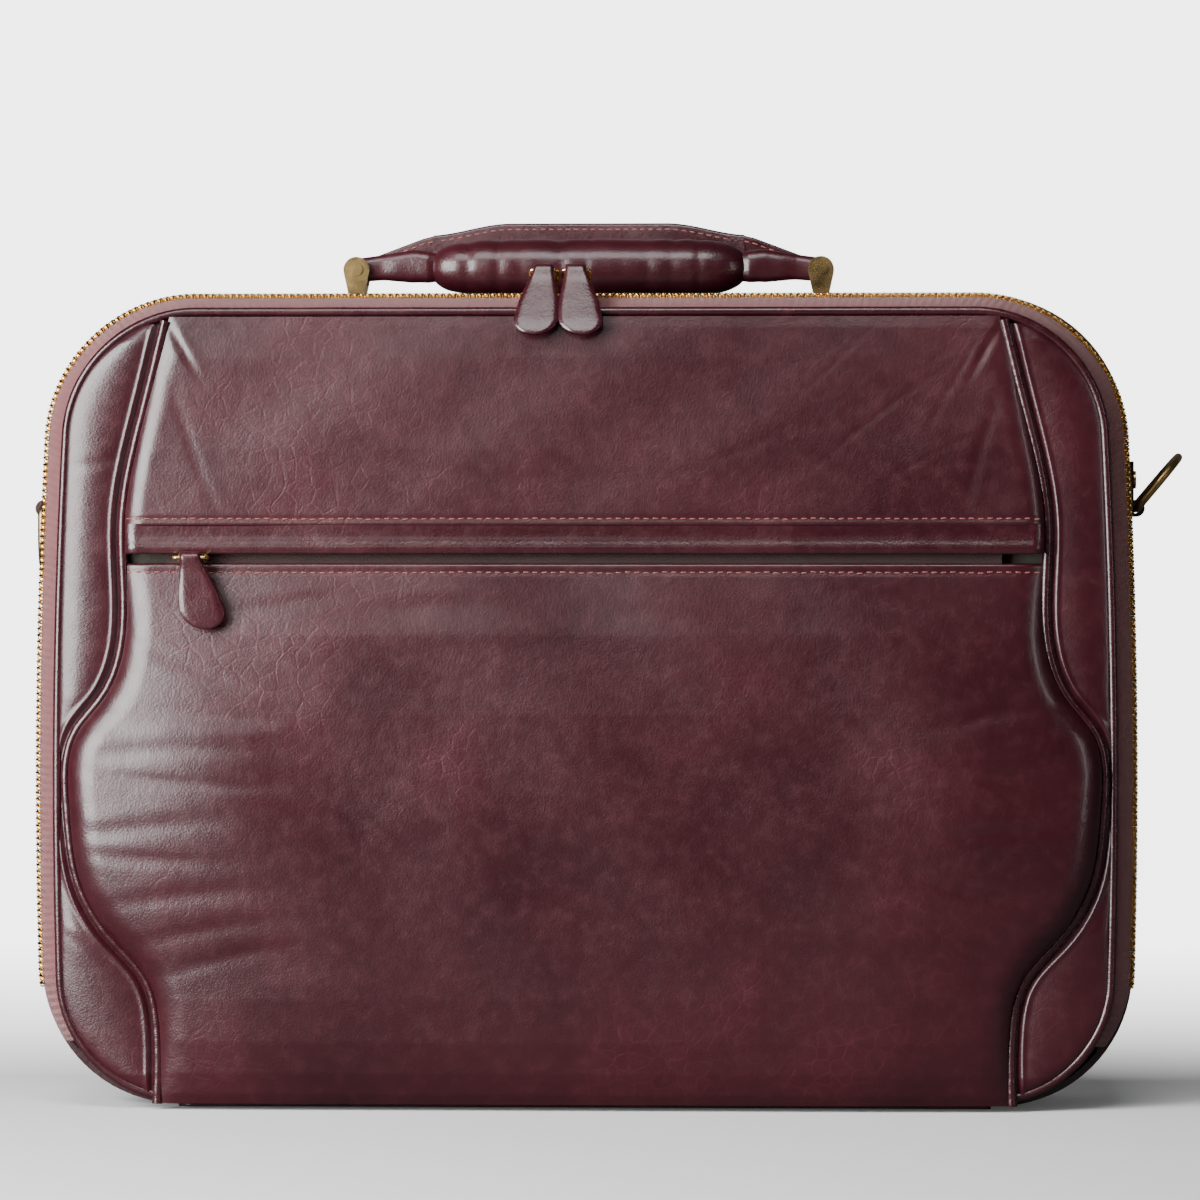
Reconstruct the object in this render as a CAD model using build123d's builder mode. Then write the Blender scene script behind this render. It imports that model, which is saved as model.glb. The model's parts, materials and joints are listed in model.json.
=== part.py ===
from build123d import *
import os
from math import cos, hypot, radians, sin

os.makedirs("parts", exist_ok=True)

# A zipped leather briefcase for a laptop.  X is the width, -Y the front, +Z up, the base on z = 0.

# overall sizes
case_width = 420.0
case_height = 310.0
gusset_depth = 50.6
leather = 2.5
lining = 1.0
touch = 0.4

# outline of the case seen from the front
side_lean_top = 7.0
side_lean_bottom = 3.0
widest_height = 0.39 * case_height
top_corner = 55.0
bottom_corner = 52.0

# front panel outline, inside the case outline
front_side_inset = 8.0
front_top_inset = 6.0
front_bottom_inset = 2.0

# places along the depth
gusset_front = -14.0
gusset_back = gusset_front + gusset_depth
zip_split = -23.0
tooth_width = 2.8
web_gap = 0.6
web_thickness = 0.6
tooth_height = 3.8
tape_thickness = 0.8
board_front = -33.0
board_thickness = 2.0
panel_front = -35.4
piping_radius = 1.75
pocket_piping_radius = 1.9

# front pocket
fold_height = case_height - 89.0
flap_height = 10.0
flap_thickness = 2.0
mouth_height = fold_height - 14.0
upper_panel_top_y = -35.8
upper_panel_fold_y = -42.4
lower_panel_top_y = -40.2
lower_panel_bulge_y = -50.0
lower_panel_foot_y = -43.5

# handle
handle_y = 12.0
post_x = 89.5
post_pin_height = case_height + 10.0
pin_radius = 1.5
pin_clearance = 0.1
ear_radius = 5.0
ear_thickness = 2.2
tab_thickness = 8.0
tab_clearance = 0.3
grip_half_length = 61.0
grip_radius = 11.2
grip_clearance = 0.6
core_radius = 6.5
tab_reach = 31.5
tab_end_radius = 4.5
welt_thickness = 3.2
handle_top = case_height + 28.0

# side rings
ring_height = 0.7355 * case_height
ring_wire = 1.6
ring_inside = 25.0
ring_lift = 50.0

# zip sliders and pulls
slider_length = 11.0
pull_wire = 0.75
pull_thickness = 3.0
main_slider_left_x = -15.4
main_slider_right_x = -3.2
main_ring_rise = 40.0
pocket_slider_x = -148.0

half_width = case_width / 2


def at_depth(y):
    """Plane facing the front, standing at depth y."""
    return Plane.XZ.offset(-y)


def outline(side, top, bottom, top_radius, bottom_radius):
    """Rounded case outline, moved in from the overall size at the sides, top and bottom."""
    half = half_width - side
    top_x = half - side_lean_top
    foot_x = half - side_lean_bottom
    top_z = case_height - top
    with BuildSketch(mode=Mode.PRIVATE) as face:
        with BuildLine():
            Line((-foot_x, bottom), (foot_x, bottom))
            ThreePointArc((foot_x, bottom), (half, widest_height), (top_x, top_z))
            Line((top_x, top_z), (-top_x, top_z))
            ThreePointArc((-top_x, top_z), (-half, widest_height), (-foot_x, bottom))
        make_face()
        fillet(face.vertices().group_by(Axis.Y)[-1], radius=top_radius)
        fillet(face.vertices().group_by(Axis.Y)[0], radius=bottom_radius)
    return face.sketch


def side_at(height):
    """Half width of the case outline at a height, on the side's arc."""
    low_x, low_z = half_width - side_lean_bottom, 0.0
    mid_x, mid_z = half_width, widest_height
    high_x, high_z = half_width - side_lean_top, case_height
    low, mid, high = low_x**2 + low_z**2, mid_x**2 + mid_z**2, high_x**2 + high_z**2
    det = 2 * (low_x * (mid_z - high_z) + mid_x * (high_z - low_z) + high_x * (low_z - mid_z))
    centre_x = (low * (mid_z - high_z) + mid * (high_z - low_z) + high * (low_z - mid_z)) / det
    centre_z = (low * (high_x - mid_x) + mid * (low_x - high_x) + high * (mid_x - low_x)) / det
    radius = hypot(low_x - centre_x, low_z - centre_z)
    return centre_x + (radius**2 - (height - centre_z) ** 2) ** 0.5


def inset(shape, amount):
    """The same outline moved in by an even amount."""
    return offset(shape, amount=-amount)


def band(outer, inner, back, depth):
    """The ring between two outlines, from depth back towards the front."""
    with BuildPart(mode=Mode.PRIVATE) as ring:
        with BuildSketch(at_depth(back)):
            add(outer)
        extrude(amount=depth)
        with BuildSketch(at_depth(back + 1)):
            add(inner)
        extrude(amount=depth + 2, mode=Mode.SUBTRACT)
    return ring.part


case_shape = outline(0, 0, 0, top_corner, bottom_corner)
gusset_shape = outline(0.8, 0.8, 0, top_corner - 0.8, bottom_corner)
front_shape = outline(
    front_side_inset, front_top_inset, front_bottom_inset, top_corner - 7, bottom_corner - 5
)
gusset_inner = inset(gusset_shape, leather)
lining_inner = inset(gusset_inner, lining)
front_inner = inset(front_shape, 2 * piping_radius)

# edge of the front pocket: distance in from the widest side, height
pocket_edge = [
    (52.0, case_height - 8.0),
    (43.0, case_height - 45.0),
    (35.0, fold_height + 2.0),
    (34.5, 0.565 * case_height),
    (27.0, 0.503 * case_height),
    (17.0, 0.461 * case_height),
    (14.0, 0.361 * case_height),
    (18.0, 0.277 * case_height),
    (30.0, 0.210 * case_height),
    (44.0, 0.155 * case_height),
    (48.0, 0.097 * case_height),
    (48.0, 2.0),
]


def pocket_points(inward, side):
    """Points of the pocket edge on one side, moved towards the middle."""
    return [(side * (half_width - edge - inward), height) for edge, height in pocket_edge]


def pocket_shape(inward):
    """Closed shape of the pocket front between its two edges."""
    right = pocket_points(inward, 1)
    left = pocket_points(inward, -1)
    with BuildSketch(mode=Mode.PRIVATE) as face:
        with BuildLine():
            Spline(*right)
            Line(right[-1], left[-1])
            Spline(*reversed(left))
            Line(left[0], right[0])
        make_face()
    return face.sketch


pocket_region = pocket_shape(0)
pocket_inside = pocket_shape(3.4)

# main case body

with BuildPart() as gusset:
    add(band(gusset_shape, gusset_inner, gusset_back, gusset_depth))
    with Locations((-post_x, handle_y, case_height - 2), (post_x, handle_y, case_height - 2)):
        Cylinder(radius=2.1, height=8, mode=Mode.SUBTRACT)
gusset.part.label = "gusset"
export_step(gusset.part, "parts/gusset.step")

with BuildPart() as rear_board:
    with BuildSketch(at_depth(gusset_back)):
        add(gusset_inner)
    extrude(amount=2.2)
rear_board.part.label = "rear_board"
export_step(rear_board.part, "parts/rear_board.step")

piping_path_rear = inset(gusset_shape, piping_radius).face().outer_wire().moved(
    at_depth(gusset_back + piping_radius).location
)
with BuildPart() as rear_piping:
    with BuildSketch(Plane(origin=piping_path_rear @ 0, z_dir=piping_path_rear % 0)):
        Circle(piping_radius)
    sweep(path=piping_path_rear)
rear_piping.part.label = "rear_piping"
export_step(rear_piping.part, "parts/rear_piping.step")

with BuildPart() as rear_panel:
    with BuildSketch(at_depth(gusset_back + 3.2)):
        add(inset(gusset_shape, 2 * piping_radius + 0.1))
    extrude(amount=3.2)
    fillet(rear_panel.faces().sort_by(Axis.Y)[-1].edges(), radius=1.4)
rear_panel.part.label = "rear_panel"
export_step(rear_panel.part, "parts/rear_panel.step")

lining_front = gusset_front + 5.0
with BuildPart() as case_lining:
    with BuildSketch(at_depth(gusset_back - 2.2)):
        add(gusset_inner)
    extrude(amount=lining)
    add(band(gusset_inner, lining_inner, gusset_back - 2.2 - lining, gusset_back - 2.2 - lining - lining_front))
    with Locations((-post_x, handle_y, case_height - 4), (post_x, handle_y, case_height - 4)):
        Cylinder(radius=2.1, height=8, mode=Mode.SUBTRACT)
case_lining.part.label = "case_lining"
export_step(case_lining.part, "parts/case_lining.step")

lining_back_y = gusset_back - 2.2 - lining
lining_floor = leather + lining
lining_top = case_height - 0.8 - leather - lining

bottom_board_x = case_width - 2 * bottom_corner - 30

padding_thickness = 6.0
divider_front = 0.0
divider_thickness = 6.0
divider_top = 0.76 * case_height
with BuildPart() as laptop_padding:
    with BuildSketch(at_depth(lining_back_y)):
        add(inset(lining_inner, 3))
    extrude(amount=padding_thickness)
    fillet(laptop_padding.faces().sort_by(Axis.Y)[0].edges(), radius=2.5)
laptop_padding.part.label = "laptop_padding"
export_step(laptop_padding.part, "parts/laptop_padding.step")

with BuildPart() as laptop_divider:
    with BuildSketch(at_depth(divider_front + divider_thickness)):
        add(lining_inner)
        with Locations((0, divider_top + 100)):
            Rectangle(case_width + 40, 200, mode=Mode.SUBTRACT)
    extrude(amount=divider_thickness)
    fillet(laptop_divider.faces().sort_by(Axis.Z)[-1].edges().filter_by(Axis.X), radius=2.8)
laptop_divider.part.label = "laptop_divider"
export_step(laptop_divider.part, "parts/laptop_divider.step")

with BuildPart() as bottom_board:
    with Locations((0, (lining_front + divider_front) / 2, lining_floor + 1.25)):
        Box(bottom_board_x, divider_front - lining_front - 0.6, 2.5)
    rest_y = divider_front + divider_thickness
    rest_end = lining_back_y - padding_thickness
    with Locations((0, (rest_y + rest_end) / 2, lining_floor + 1.25)):
        Box(bottom_board_x, rest_end - rest_y - 0.6, 2.5)
bottom_board.part.label = "bottom_board"
export_step(bottom_board.part, "parts/bottom_board.step")

with BuildPart() as handle_backing_bar:
    with Locations((0, handle_y + 2, lining_top - 1.0)):
        Box(2 * post_x + 24, 12, 2.0)
    with Locations((-post_x, handle_y, lining_top - 1), (post_x, handle_y, lining_top - 1)):
        Cylinder(radius=2.1, height=8, mode=Mode.SUBTRACT)
    fillet(handle_backing_bar.edges().filter_by(Axis.Z).filter_by(GeomType.LINE), radius=4)
handle_backing_bar.part.label = "handle_backing_bar"
export_step(handle_backing_bar.part, "parts/handle_backing_bar.step")

# zip on the case side

teeth_back = zip_split + web_gap
zip_end = 0.148 * case_height
with BuildPart() as zip_teeth_rear:
    add(band(case_shape, inset(case_shape, tooth_height), teeth_back + tooth_width, tooth_width))
    with Locations((0, zip_split, zip_end - 100)):
        Box(case_width + 40, 60, 200, mode=Mode.SUBTRACT)
zip_teeth_rear.part.label = "zip_teeth_rear"
export_step(zip_teeth_rear.part, "parts/zip_teeth_rear.step")

tape_inset = tooth_height / 2 - tape_thickness / 2
with BuildPart() as zip_tape_rear:
    tape_depth = gusset_front - teeth_back - tooth_width
    add(band(inset(case_shape, tape_inset), inset(case_shape, tape_inset + tape_thickness), gusset_front, tape_depth))
    with Locations((0, zip_split, zip_end - 22 - 100)):
        Box(case_width + 40, 60, 200, mode=Mode.SUBTRACT)
zip_tape_rear.part.label = "zip_tape_rear"
export_step(zip_tape_rear.part, "parts/zip_tape_rear.step")

tape_inner = inset(case_shape, tape_inset + tape_thickness)
for side, name in ((-1, "left"), (1, "right")):
    with BuildPart() as zip_end_tab:
        add(band(tape_inner, inset(tape_inner, 2.0), gusset_front - 0.2, gusset_front - 0.2 - teeth_back))
        with Locations((0, zip_split, zip_end - 24 - 100)):
            Box(case_width + 40, 60, 200, mode=Mode.SUBTRACT)
        with Locations((0, zip_split, zip_end - 1 + case_height / 2)):
            Box(case_width + 40, 60, case_height, mode=Mode.SUBTRACT)
        with Locations((-side * half_width, zip_split, zip_end)):
            Box(case_width, 60, 200, mode=Mode.SUBTRACT)
    zip_end_tab.part.label = f"zip_end_tab_{name}"
    export_step(zip_end_tab.part, f"parts/zip_end_tab_{name}.step")

hinge_y = zip_split - 1.5
hinge_z = 0.7
band_half = half_width - bottom_corner - 4
with BuildPart() as hinge_band:
    with Locations((0, (hinge_y + 0.7 + gusset_front) / 2, hinge_z)):
        Box(2 * band_half, gusset_front - hinge_y - 0.7, 1.0)
    with Locations((0, gusset_front - 0.6, hinge_z + 0.8)):
        Box(2 * band_half, 1.2, 2.6)
hinge_band.part.label = "hinge_band"
export_step(hinge_band.part, "parts/hinge_band.step")

# carrying handle

gusset_top = case_height - 0.8
grip_z = gusset_top + grip_clearance + grip_radius
for side, name in ((-1, "left"), (1, "right")):
    x = side * post_x
    outer_y = tab_thickness / 2 + tab_clearance + ear_thickness
    with BuildPart() as handle_post:
        with BuildSketch(at_depth(handle_y + outer_y)):
            with Locations((x, post_pin_height)):
                Circle(ear_radius)
            with BuildLine():
                Polyline(
                    (x - 2.8, gusset_top),
                    (x + 2.8, gusset_top),
                    (x + ear_radius - 0.1, post_pin_height - 1),
                    (x - ear_radius + 0.1, post_pin_height - 1),
                    close=True,
                )
            make_face()
        extrude(amount=2 * outer_y)
        with Locations((x, handle_y, post_pin_height + 0.5)):
            Box(20, tab_thickness + 2 * tab_clearance, 2 * ear_radius + 3, mode=Mode.SUBTRACT)
        with BuildSketch(at_depth(handle_y + outer_y)):
            with Locations((x, post_pin_height)):
                Circle(pin_radius)
        extrude(amount=2 * outer_y, mode=Mode.SUBTRACT)
        with Locations((x, handle_y, gusset_top + 0.8)):
            Cylinder(radius=7.2, height=1.6)
        with Locations((x, handle_y, gusset_top + 0.5)):
            Cylinder(radius=1.6, height=3.4, mode=Mode.SUBTRACT)
    handle_post.part.label = f"handle_post_{name}"
    export_step(handle_post.part, f"parts/handle_post_{name}.step")

    with BuildPart() as post_pin:
        with BuildSketch(at_depth(handle_y + outer_y)):
            with Locations((x, post_pin_height)):
                Circle(pin_radius)
        extrude(amount=2 * outer_y)
        for face_y, amount in ((handle_y + outer_y + 0.8, 0.8), (handle_y - outer_y, 0.8)):
            with BuildSketch(at_depth(face_y)):
                with Locations((x, post_pin_height)):
                    Circle(pin_radius + 0.9)
            extrude(amount=amount)
    post_pin.part.label = f"post_pin_{name}"
    export_step(post_pin.part, f"parts/post_pin_{name}.step")

    inner = x - side * tab_reach
    with BuildPart() as handle_tab:
        with BuildSketch(at_depth(handle_y + tab_thickness / 2)):
            with Locations((x, post_pin_height)):
                Circle(ear_radius)
            with Locations((inner, grip_z)):
                Circle(tab_end_radius)
            with BuildLine():
                Polyline(
                    (x, post_pin_height - ear_radius),
                    (x, post_pin_height + ear_radius),
                    (inner, grip_z + tab_end_radius),
                    (inner, grip_z - tab_end_radius),
                    close=True,
                )
            make_face()
            with Locations((x, post_pin_height)):
                Circle(pin_radius + pin_clearance, mode=Mode.SUBTRACT)
        extrude(amount=tab_thickness)
        with BuildSketch(at_depth(handle_y + welt_thickness / 2)):
            with BuildLine():
                Polyline(
                    (x - side * 6.6, post_pin_height),
                    (x - side * 6.6, post_pin_height + 6.0),
                    (x - side * 19.0, post_pin_height + 9.5),
                    (x - side * 24.6, post_pin_height + 10.2),
                    (x - side * 24.6, post_pin_height),
                    close=True,
                )
            make_face()
        extrude(amount=welt_thickness)
    handle_tab.part.label = f"handle_tab_{name}"
    export_step(handle_tab.part, f"parts/handle_tab_{name}.step")

with BuildPart() as handle_post_screws:
    with Locations((-post_x, handle_y, lining_top - 2.0 - 0.8), (post_x, handle_y, lining_top - 2.8)):
        Cylinder(radius=3.6, height=1.6)
    shank = gusset_top + 2.2 - (lining_top - 2.0)
    with Locations(
        (-post_x, handle_y, lining_top - 2.0 + shank / 2), (post_x, handle_y, lining_top - 2.0 + shank / 2)
    ):
        Cylinder(radius=1.6, height=shank)
handle_post_screws.part.label = "handle_post_screws"
export_step(handle_post_screws.part, "parts/handle_post_screws.step")

grip_center = Plane(origin=(0, handle_y, grip_z), x_dir=(0, 1, 0), z_dir=(1, 0, 0))
with BuildPart() as grip_solid:
    with BuildSketch(grip_center.offset(-grip_half_length)):
        Circle(grip_radius)
    extrude(amount=2 * grip_half_length)
    fillet(grip_solid.edges(), radius=4.5)

slot_start = post_x - tab_reach - tab_end_radius - 3.0
slot_half_height = tab_end_radius + 1.3
with BuildPart() as grip_cover:
    add(grip_solid.part)
    with BuildSketch(grip_center.offset(-slot_start + 2.5)):
        Circle(core_radius)
    extrude(amount=2 * slot_start - 5, mode=Mode.SUBTRACT)
    for side in (-1, 1):
        mouth = (slot_start + grip_half_length + 1) / 2
        with Locations((side * mouth, handle_y, grip_z)):
            Box(
                grip_half_length + 1 - slot_start,
                tab_thickness + 2 * tab_clearance,
                2 * slot_half_height,
                mode=Mode.SUBTRACT,
            )
grip_cover.part.label = "grip_cover"
export_step(grip_cover.part, "parts/grip_cover.step")

with BuildPart() as grip_core:
    with BuildSketch(grip_center.offset(-slot_start + 2.5)):
        Circle(core_radius)
    extrude(amount=2 * slot_start - 5)
grip_core.part.label = "grip_core"
export_step(grip_core.part, "parts/grip_core.step")

with BuildPart() as grip_welt:
    with BuildSketch(at_depth(handle_y + welt_thickness / 2)):
        with BuildLine():
            Polyline(
                (-grip_half_length + 2, grip_z + 7.5),
                (grip_half_length - 2, grip_z + 7.5),
                (grip_half_length - 2, grip_z + grip_radius + 0.8),
                (42, handle_top),
                (-42, handle_top),
                (-grip_half_length + 2, grip_z + grip_radius + 0.8),
                close=True,
            )
        make_face()
    extrude(amount=welt_thickness)
    add(grip_solid.part, mode=Mode.SUBTRACT)
grip_welt.part.label = "grip_welt"
export_step(grip_welt.part, "parts/grip_welt.step")

# side rings

gusset_solid = extrude(at_depth(gusset_back).location * gusset_shape, amount=gusset_depth)
side_x = side_at(ring_height) - 0.8
loop_radius = ring_wire + 0.3 + 1.4
pivot_x = side_x + loop_radius
bar_half = ring_inside / 2 + ring_wire
for side, name in ((-1, "left"), (1, "right")):
    with BuildPart() as strap_tab:
        with Locations((side * (pivot_x), handle_y, ring_height)):
            Cylinder(radius=loop_radius, height=18, rotation=(90, 0, 0))
        with Locations((side * (side_x + 1.2), handle_y, ring_height + 9)):
            Box(2.4, 18, 18)
        with Locations((side * pivot_x, handle_y, ring_height)):
            Cylinder(radius=ring_wire + 0.3, height=20, rotation=(90, 0, 0), mode=Mode.SUBTRACT)
        add(gusset_solid, mode=Mode.SUBTRACT)
        with Locations((side * (side_x + 2), handle_y, ring_height + 11)):
            Cylinder(radius=1.6, height=12, rotation=(0, 90, 0), mode=Mode.SUBTRACT)
    strap_tab.part.label = f"strap_tab_{name}"
    export_step(strap_tab.part, f"parts/strap_tab_{name}.step")

with BuildPart() as strap_tab_rivets:
    for side in (-1, 1):
        with Locations((side * (side_x + 1.9), handle_y, ring_height + 11)):
            Cylinder(radius=1.6, height=3.0, rotation=(0, 90, 0))
        with Locations((side * (side_x + 3.0), handle_y, ring_height + 11)):
            Cylinder(radius=3.4, height=1.2, rotation=(0, 90, 0))
    add(gusset_solid, mode=Mode.SUBTRACT)
strap_tab_rivets.part.label = "strap_tab_rivets"
export_step(strap_tab_rivets.part, "parts/strap_tab_rivets.step")

for side, name, lift in ((-1, "left", -90.0), (1, "right", ring_lift)):
    # local x runs away from the bar, local y runs along the bar
    away = (side * cos(radians(lift)), 0, sin(radians(lift)))
    ring_plane = Plane(
        origin=(side * pivot_x, handle_y, ring_height),
        x_dir=away,
        z_dir=(-away[2], 0, away[0]),
    )
    with BuildLine(ring_plane, mode=Mode.PRIVATE) as ring_path:
        Line((0, -bar_half + 3.4), (0, bar_half - 3.4))
        RadiusArc((0, bar_half - 3.4), (3.4, bar_half), 3.4)
        Line((3.4, bar_half), (ring_inside / 2 - 1, bar_half))
        ThreePointArc(
            (ring_inside / 2 - 1, bar_half), (ring_inside / 2 - 1 + bar_half, 0), (ring_inside / 2 - 1, -bar_half)
        )
        Line((ring_inside / 2 - 1, -bar_half), (3.4, -bar_half))
        RadiusArc((3.4, -bar_half), (0, -bar_half + 3.4), 3.4)
    with BuildPart() as d_ring:
        with BuildSketch(Plane(origin=ring_path.line @ 0, z_dir=ring_path.line % 0)):
            Circle(ring_wire)
        sweep(path=ring_path.wire())
    d_ring.part.label = f"d_ring_{name}"
    export_step(d_ring.part, f"parts/d_ring_{name}.step")

# lid: board, edge and zip half

board_back = board_front + board_thickness
with BuildPart() as front_board:
    with BuildSketch(at_depth(board_back)):
        add(front_inner)
    extrude(amount=board_thickness)
front_board.part.label = "front_board"
export_step(front_board.part, "parts/front_board.step")

piping_y = board_front - 0.6
piping_path_front = inset(front_shape, piping_radius).face().outer_wire().moved(at_depth(piping_y).location)
with BuildPart() as front_piping:
    with BuildSketch(Plane(origin=piping_path_front @ 0, z_dir=piping_path_front % 0)):
        Circle(piping_radius)
    sweep(path=piping_path_front)
front_piping.part.label = "front_piping"
export_step(front_piping.part, "parts/front_piping.step")

with BuildPart() as lid_lining:
    with BuildSketch(at_depth(board_back + lining)):
        add(inset(front_inner, 7))
    extrude(amount=lining)
lid_lining.part.label = "lid_lining"
export_step(lid_lining.part, "parts/lid_lining.step")

with BuildPart() as lid_hinge_strip:
    with Locations((0, (hinge_y - 0.6 + board_back + lining) / 2, hinge_z)):
        Box(2 * band_half, hinge_y - 0.6 - board_back - lining, 1.0)
    with Locations((0, board_back + lining / 2, hinge_z + 5.5)):
        Box(2 * band_half, lining, 12.0)
lid_hinge_strip.part.label = "lid_hinge_strip"
export_step(lid_hinge_strip.part, "parts/lid_hinge_strip.step")

organiser_depth = 6.0
organiser_wall = 1.2
organiser_width = 0.7 * case_width
organiser_height = 0.42 * case_height
lining_back = board_back + lining
with BuildPart() as organiser_pocket:
    with Locations((0, lining_back + organiser_depth / 2, 34 + organiser_height / 2)):
        Box(organiser_width, organiser_depth, organiser_height)
    with Locations((0, lining_back + organiser_depth / 2 - organiser_wall, 34 + organiser_height / 2)):
        Box(
            organiser_width - 2 * organiser_wall,
            organiser_depth,
            organiser_height - 2 * organiser_wall,
            mode=Mode.SUBTRACT,
        )
    with Locations((0, lining_back + organiser_depth / 2 - organiser_wall, 34 + organiser_height)):
        Box(organiser_width - 2 * organiser_wall, organiser_depth, 10, mode=Mode.SUBTRACT)
organiser_pocket.part.label = "organiser_pocket"
export_step(organiser_pocket.part, "parts/organiser_pocket.step")

teeth_front_back = zip_split - web_gap
teeth_front = teeth_front_back - tooth_width
with BuildPart() as zip_teeth_front:
    add(band(case_shape, inset(case_shape, tooth_height), teeth_front_back, tooth_width))
    with Locations((0, zip_split, zip_end - 100)):
        Box(case_width + 40, 60, 200, mode=Mode.SUBTRACT)
zip_teeth_front.part.label = "zip_teeth_front"
export_step(zip_teeth_front.part, "parts/zip_teeth_front.step")

tape_front = board_front + 1.0
with BuildPart() as zip_tape_front:
    with BuildSketch(at_depth(teeth_front)):
        add(inset(case_shape, tape_inset))
    with BuildSketch(at_depth(tape_front)):
        add(front_shape)
    loft(ruled=True)
    with BuildSketch(at_depth(teeth_front)):
        add(inset(case_shape, tape_inset + 1.1))
    with BuildSketch(at_depth(tape_front)):
        add(inset(front_shape, 1.1))
    loft(ruled=True, mode=Mode.SUBTRACT)
    with Locations((0, tape_front, zip_end - 22 - 100)):
        Box(case_width + 40, 60, 200, mode=Mode.SUBTRACT)
    add(front_piping.part, mode=Mode.SUBTRACT)
zip_tape_front.part.label = "zip_tape_front"
export_step(zip_tape_front.part, "parts/zip_tape_front.step")

# lid: front pocket and its panels

with BuildLine(at_depth(piping_y - 1.9), mode=Mode.PRIVATE) as edge_line:
    Spline(*pocket_points(0, -1))
edge_path = edge_line.wire()
with BuildPart() as pocket_piping_left:
    with BuildSketch(Plane(origin=edge_path @ 0, z_dir=edge_path % 0)):
        Circle(pocket_piping_radius)
    sweep(path=edge_path)
    add(front_piping.part, mode=Mode.SUBTRACT)
    with Locations((0, piping_y - 1.9, case_height - 3)):
        Box(case_width, 20, 12, mode=Mode.SUBTRACT)
pocket_piping_left.part.label = "pocket_piping_left"
export_step(pocket_piping_left.part, "parts/pocket_piping_left.step")

with BuildPart() as pocket_piping_right:
    add(mirror(pocket_piping_left.part, about=Plane.YZ, mode=Mode.PRIVATE))
pocket_piping_right.part.label = "pocket_piping_right"
export_step(pocket_piping_right.part, "parts/pocket_piping_right.step")

with BuildPart() as side_panel_left:
    with BuildSketch(at_depth(board_front)):
        add(front_inner)
    extrude(amount=board_front - panel_front)
    with BuildSketch(at_depth(board_front + 1)):
        add(pocket_region)
    extrude(amount=20, mode=Mode.SUBTRACT)
    with Locations((half_width, board_front, case_height / 2)):
        Box(case_width, 40, case_height + 40, mode=Mode.SUBTRACT)
    add(pocket_piping_left.part, mode=Mode.SUBTRACT)
    add(front_piping.part, mode=Mode.SUBTRACT)
side_panel_left.part.label = "side_panel_left"
export_step(side_panel_left.part, "parts/side_panel_left.step")

with BuildPart() as side_panel_right:
    add(mirror(side_panel_left.part, about=Plane.YZ, mode=Mode.PRIVATE))
side_panel_right.part.label = "side_panel_right"
export_step(side_panel_right.part, "parts/side_panel_right.step")

with BuildPart() as pocket_upper_panel:
    with BuildSketch(Plane.YZ.offset(-half_width)):
        with BuildLine():
            Polyline(
                (board_front, fold_height),
                (board_front, case_height),
                (upper_panel_top_y, case_height),
                (upper_panel_fold_y, fold_height),
                close=True,
            )
        make_face()
    extrude(amount=case_width)
    with BuildSketch(at_depth(board_front)):
        add(front_inner)
        add(pocket_inside, mode=Mode.INTERSECT)
    extrude(amount=30, mode=Mode.INTERSECT)
pocket_upper_panel.part.label = "pocket_upper_panel"
export_step(pocket_upper_panel.part, "parts/pocket_upper_panel.step")

flap_front = upper_panel_fold_y - 0.2
with BuildPart() as pocket_flap:
    with BuildSketch(at_depth(flap_front + flap_thickness)):
        add(pocket_inside)
        with Locations((0, fold_height - flap_height / 2)):
            Rectangle(case_width + 40, flap_height, mode=Mode.INTERSECT)
    extrude(amount=flap_thickness)
    fillet(pocket_flap.faces().sort_by(Axis.Z)[0].edges().filter_by(Axis.X), radius=0.8)
pocket_flap.part.label = "pocket_flap"
export_step(pocket_flap.part, "parts/pocket_flap.step")

with BuildPart() as pocket_lower_panel:
    with BuildSketch(Plane.YZ.offset(-half_width)):
        with BuildLine():
            Line((board_front, 2), (board_front, mouth_height))
            Line((board_front, mouth_height), (lower_panel_top_y, mouth_height))
            ThreePointArc(
                (lower_panel_top_y, mouth_height),
                (lower_panel_bulge_y, 0.36 * case_height),
                (lower_panel_foot_y, 2),
            )
            Line((lower_panel_foot_y, 2), (board_front, 2))
        make_face()
    extrude(amount=case_width)
    with BuildSketch(at_depth(board_front)):
        add(pocket_inside)
        with Locations((0, mouth_height / 2)):
            Rectangle(case_width + 40, mouth_height, mode=Mode.INTERSECT)
    extrude(amount=30, mode=Mode.INTERSECT)
    add(front_piping.part, mode=Mode.SUBTRACT)
lower_outer = pocket_lower_panel.part

with BuildPart() as pocket_cavity:
    with BuildSketch(Plane.YZ.offset(-half_width)):
        with BuildLine():
            Line((board_front, 2 + 2 * leather), (board_front, mouth_height))
            Line((board_front, mouth_height), (lower_panel_top_y + leather, mouth_height))
            ThreePointArc(
                (lower_panel_top_y + leather, mouth_height),
                (lower_panel_bulge_y + leather, 0.36 * case_height),
                (lower_panel_foot_y + leather, 2 + 2 * leather),
            )
            Line((lower_panel_foot_y + leather, 2 + 2 * leather), (board_front, 2 + 2 * leather))
        make_face()
    extrude(amount=case_width)
    with BuildSketch(at_depth(board_front)):
        add(pocket_shape(3.4 + leather))
        with Locations((0, mouth_height / 2)):
            Rectangle(case_width + 40, mouth_height + 1, mode=Mode.INTERSECT)
    extrude(amount=30, mode=Mode.INTERSECT)

with BuildPart() as pocket_lower_panel:
    add(lower_outer)
    add(pocket_cavity.part, mode=Mode.SUBTRACT)
pocket_lower_panel.part.label = "pocket_lower_panel"
export_step(pocket_lower_panel.part, "parts/pocket_lower_panel.step")

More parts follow.
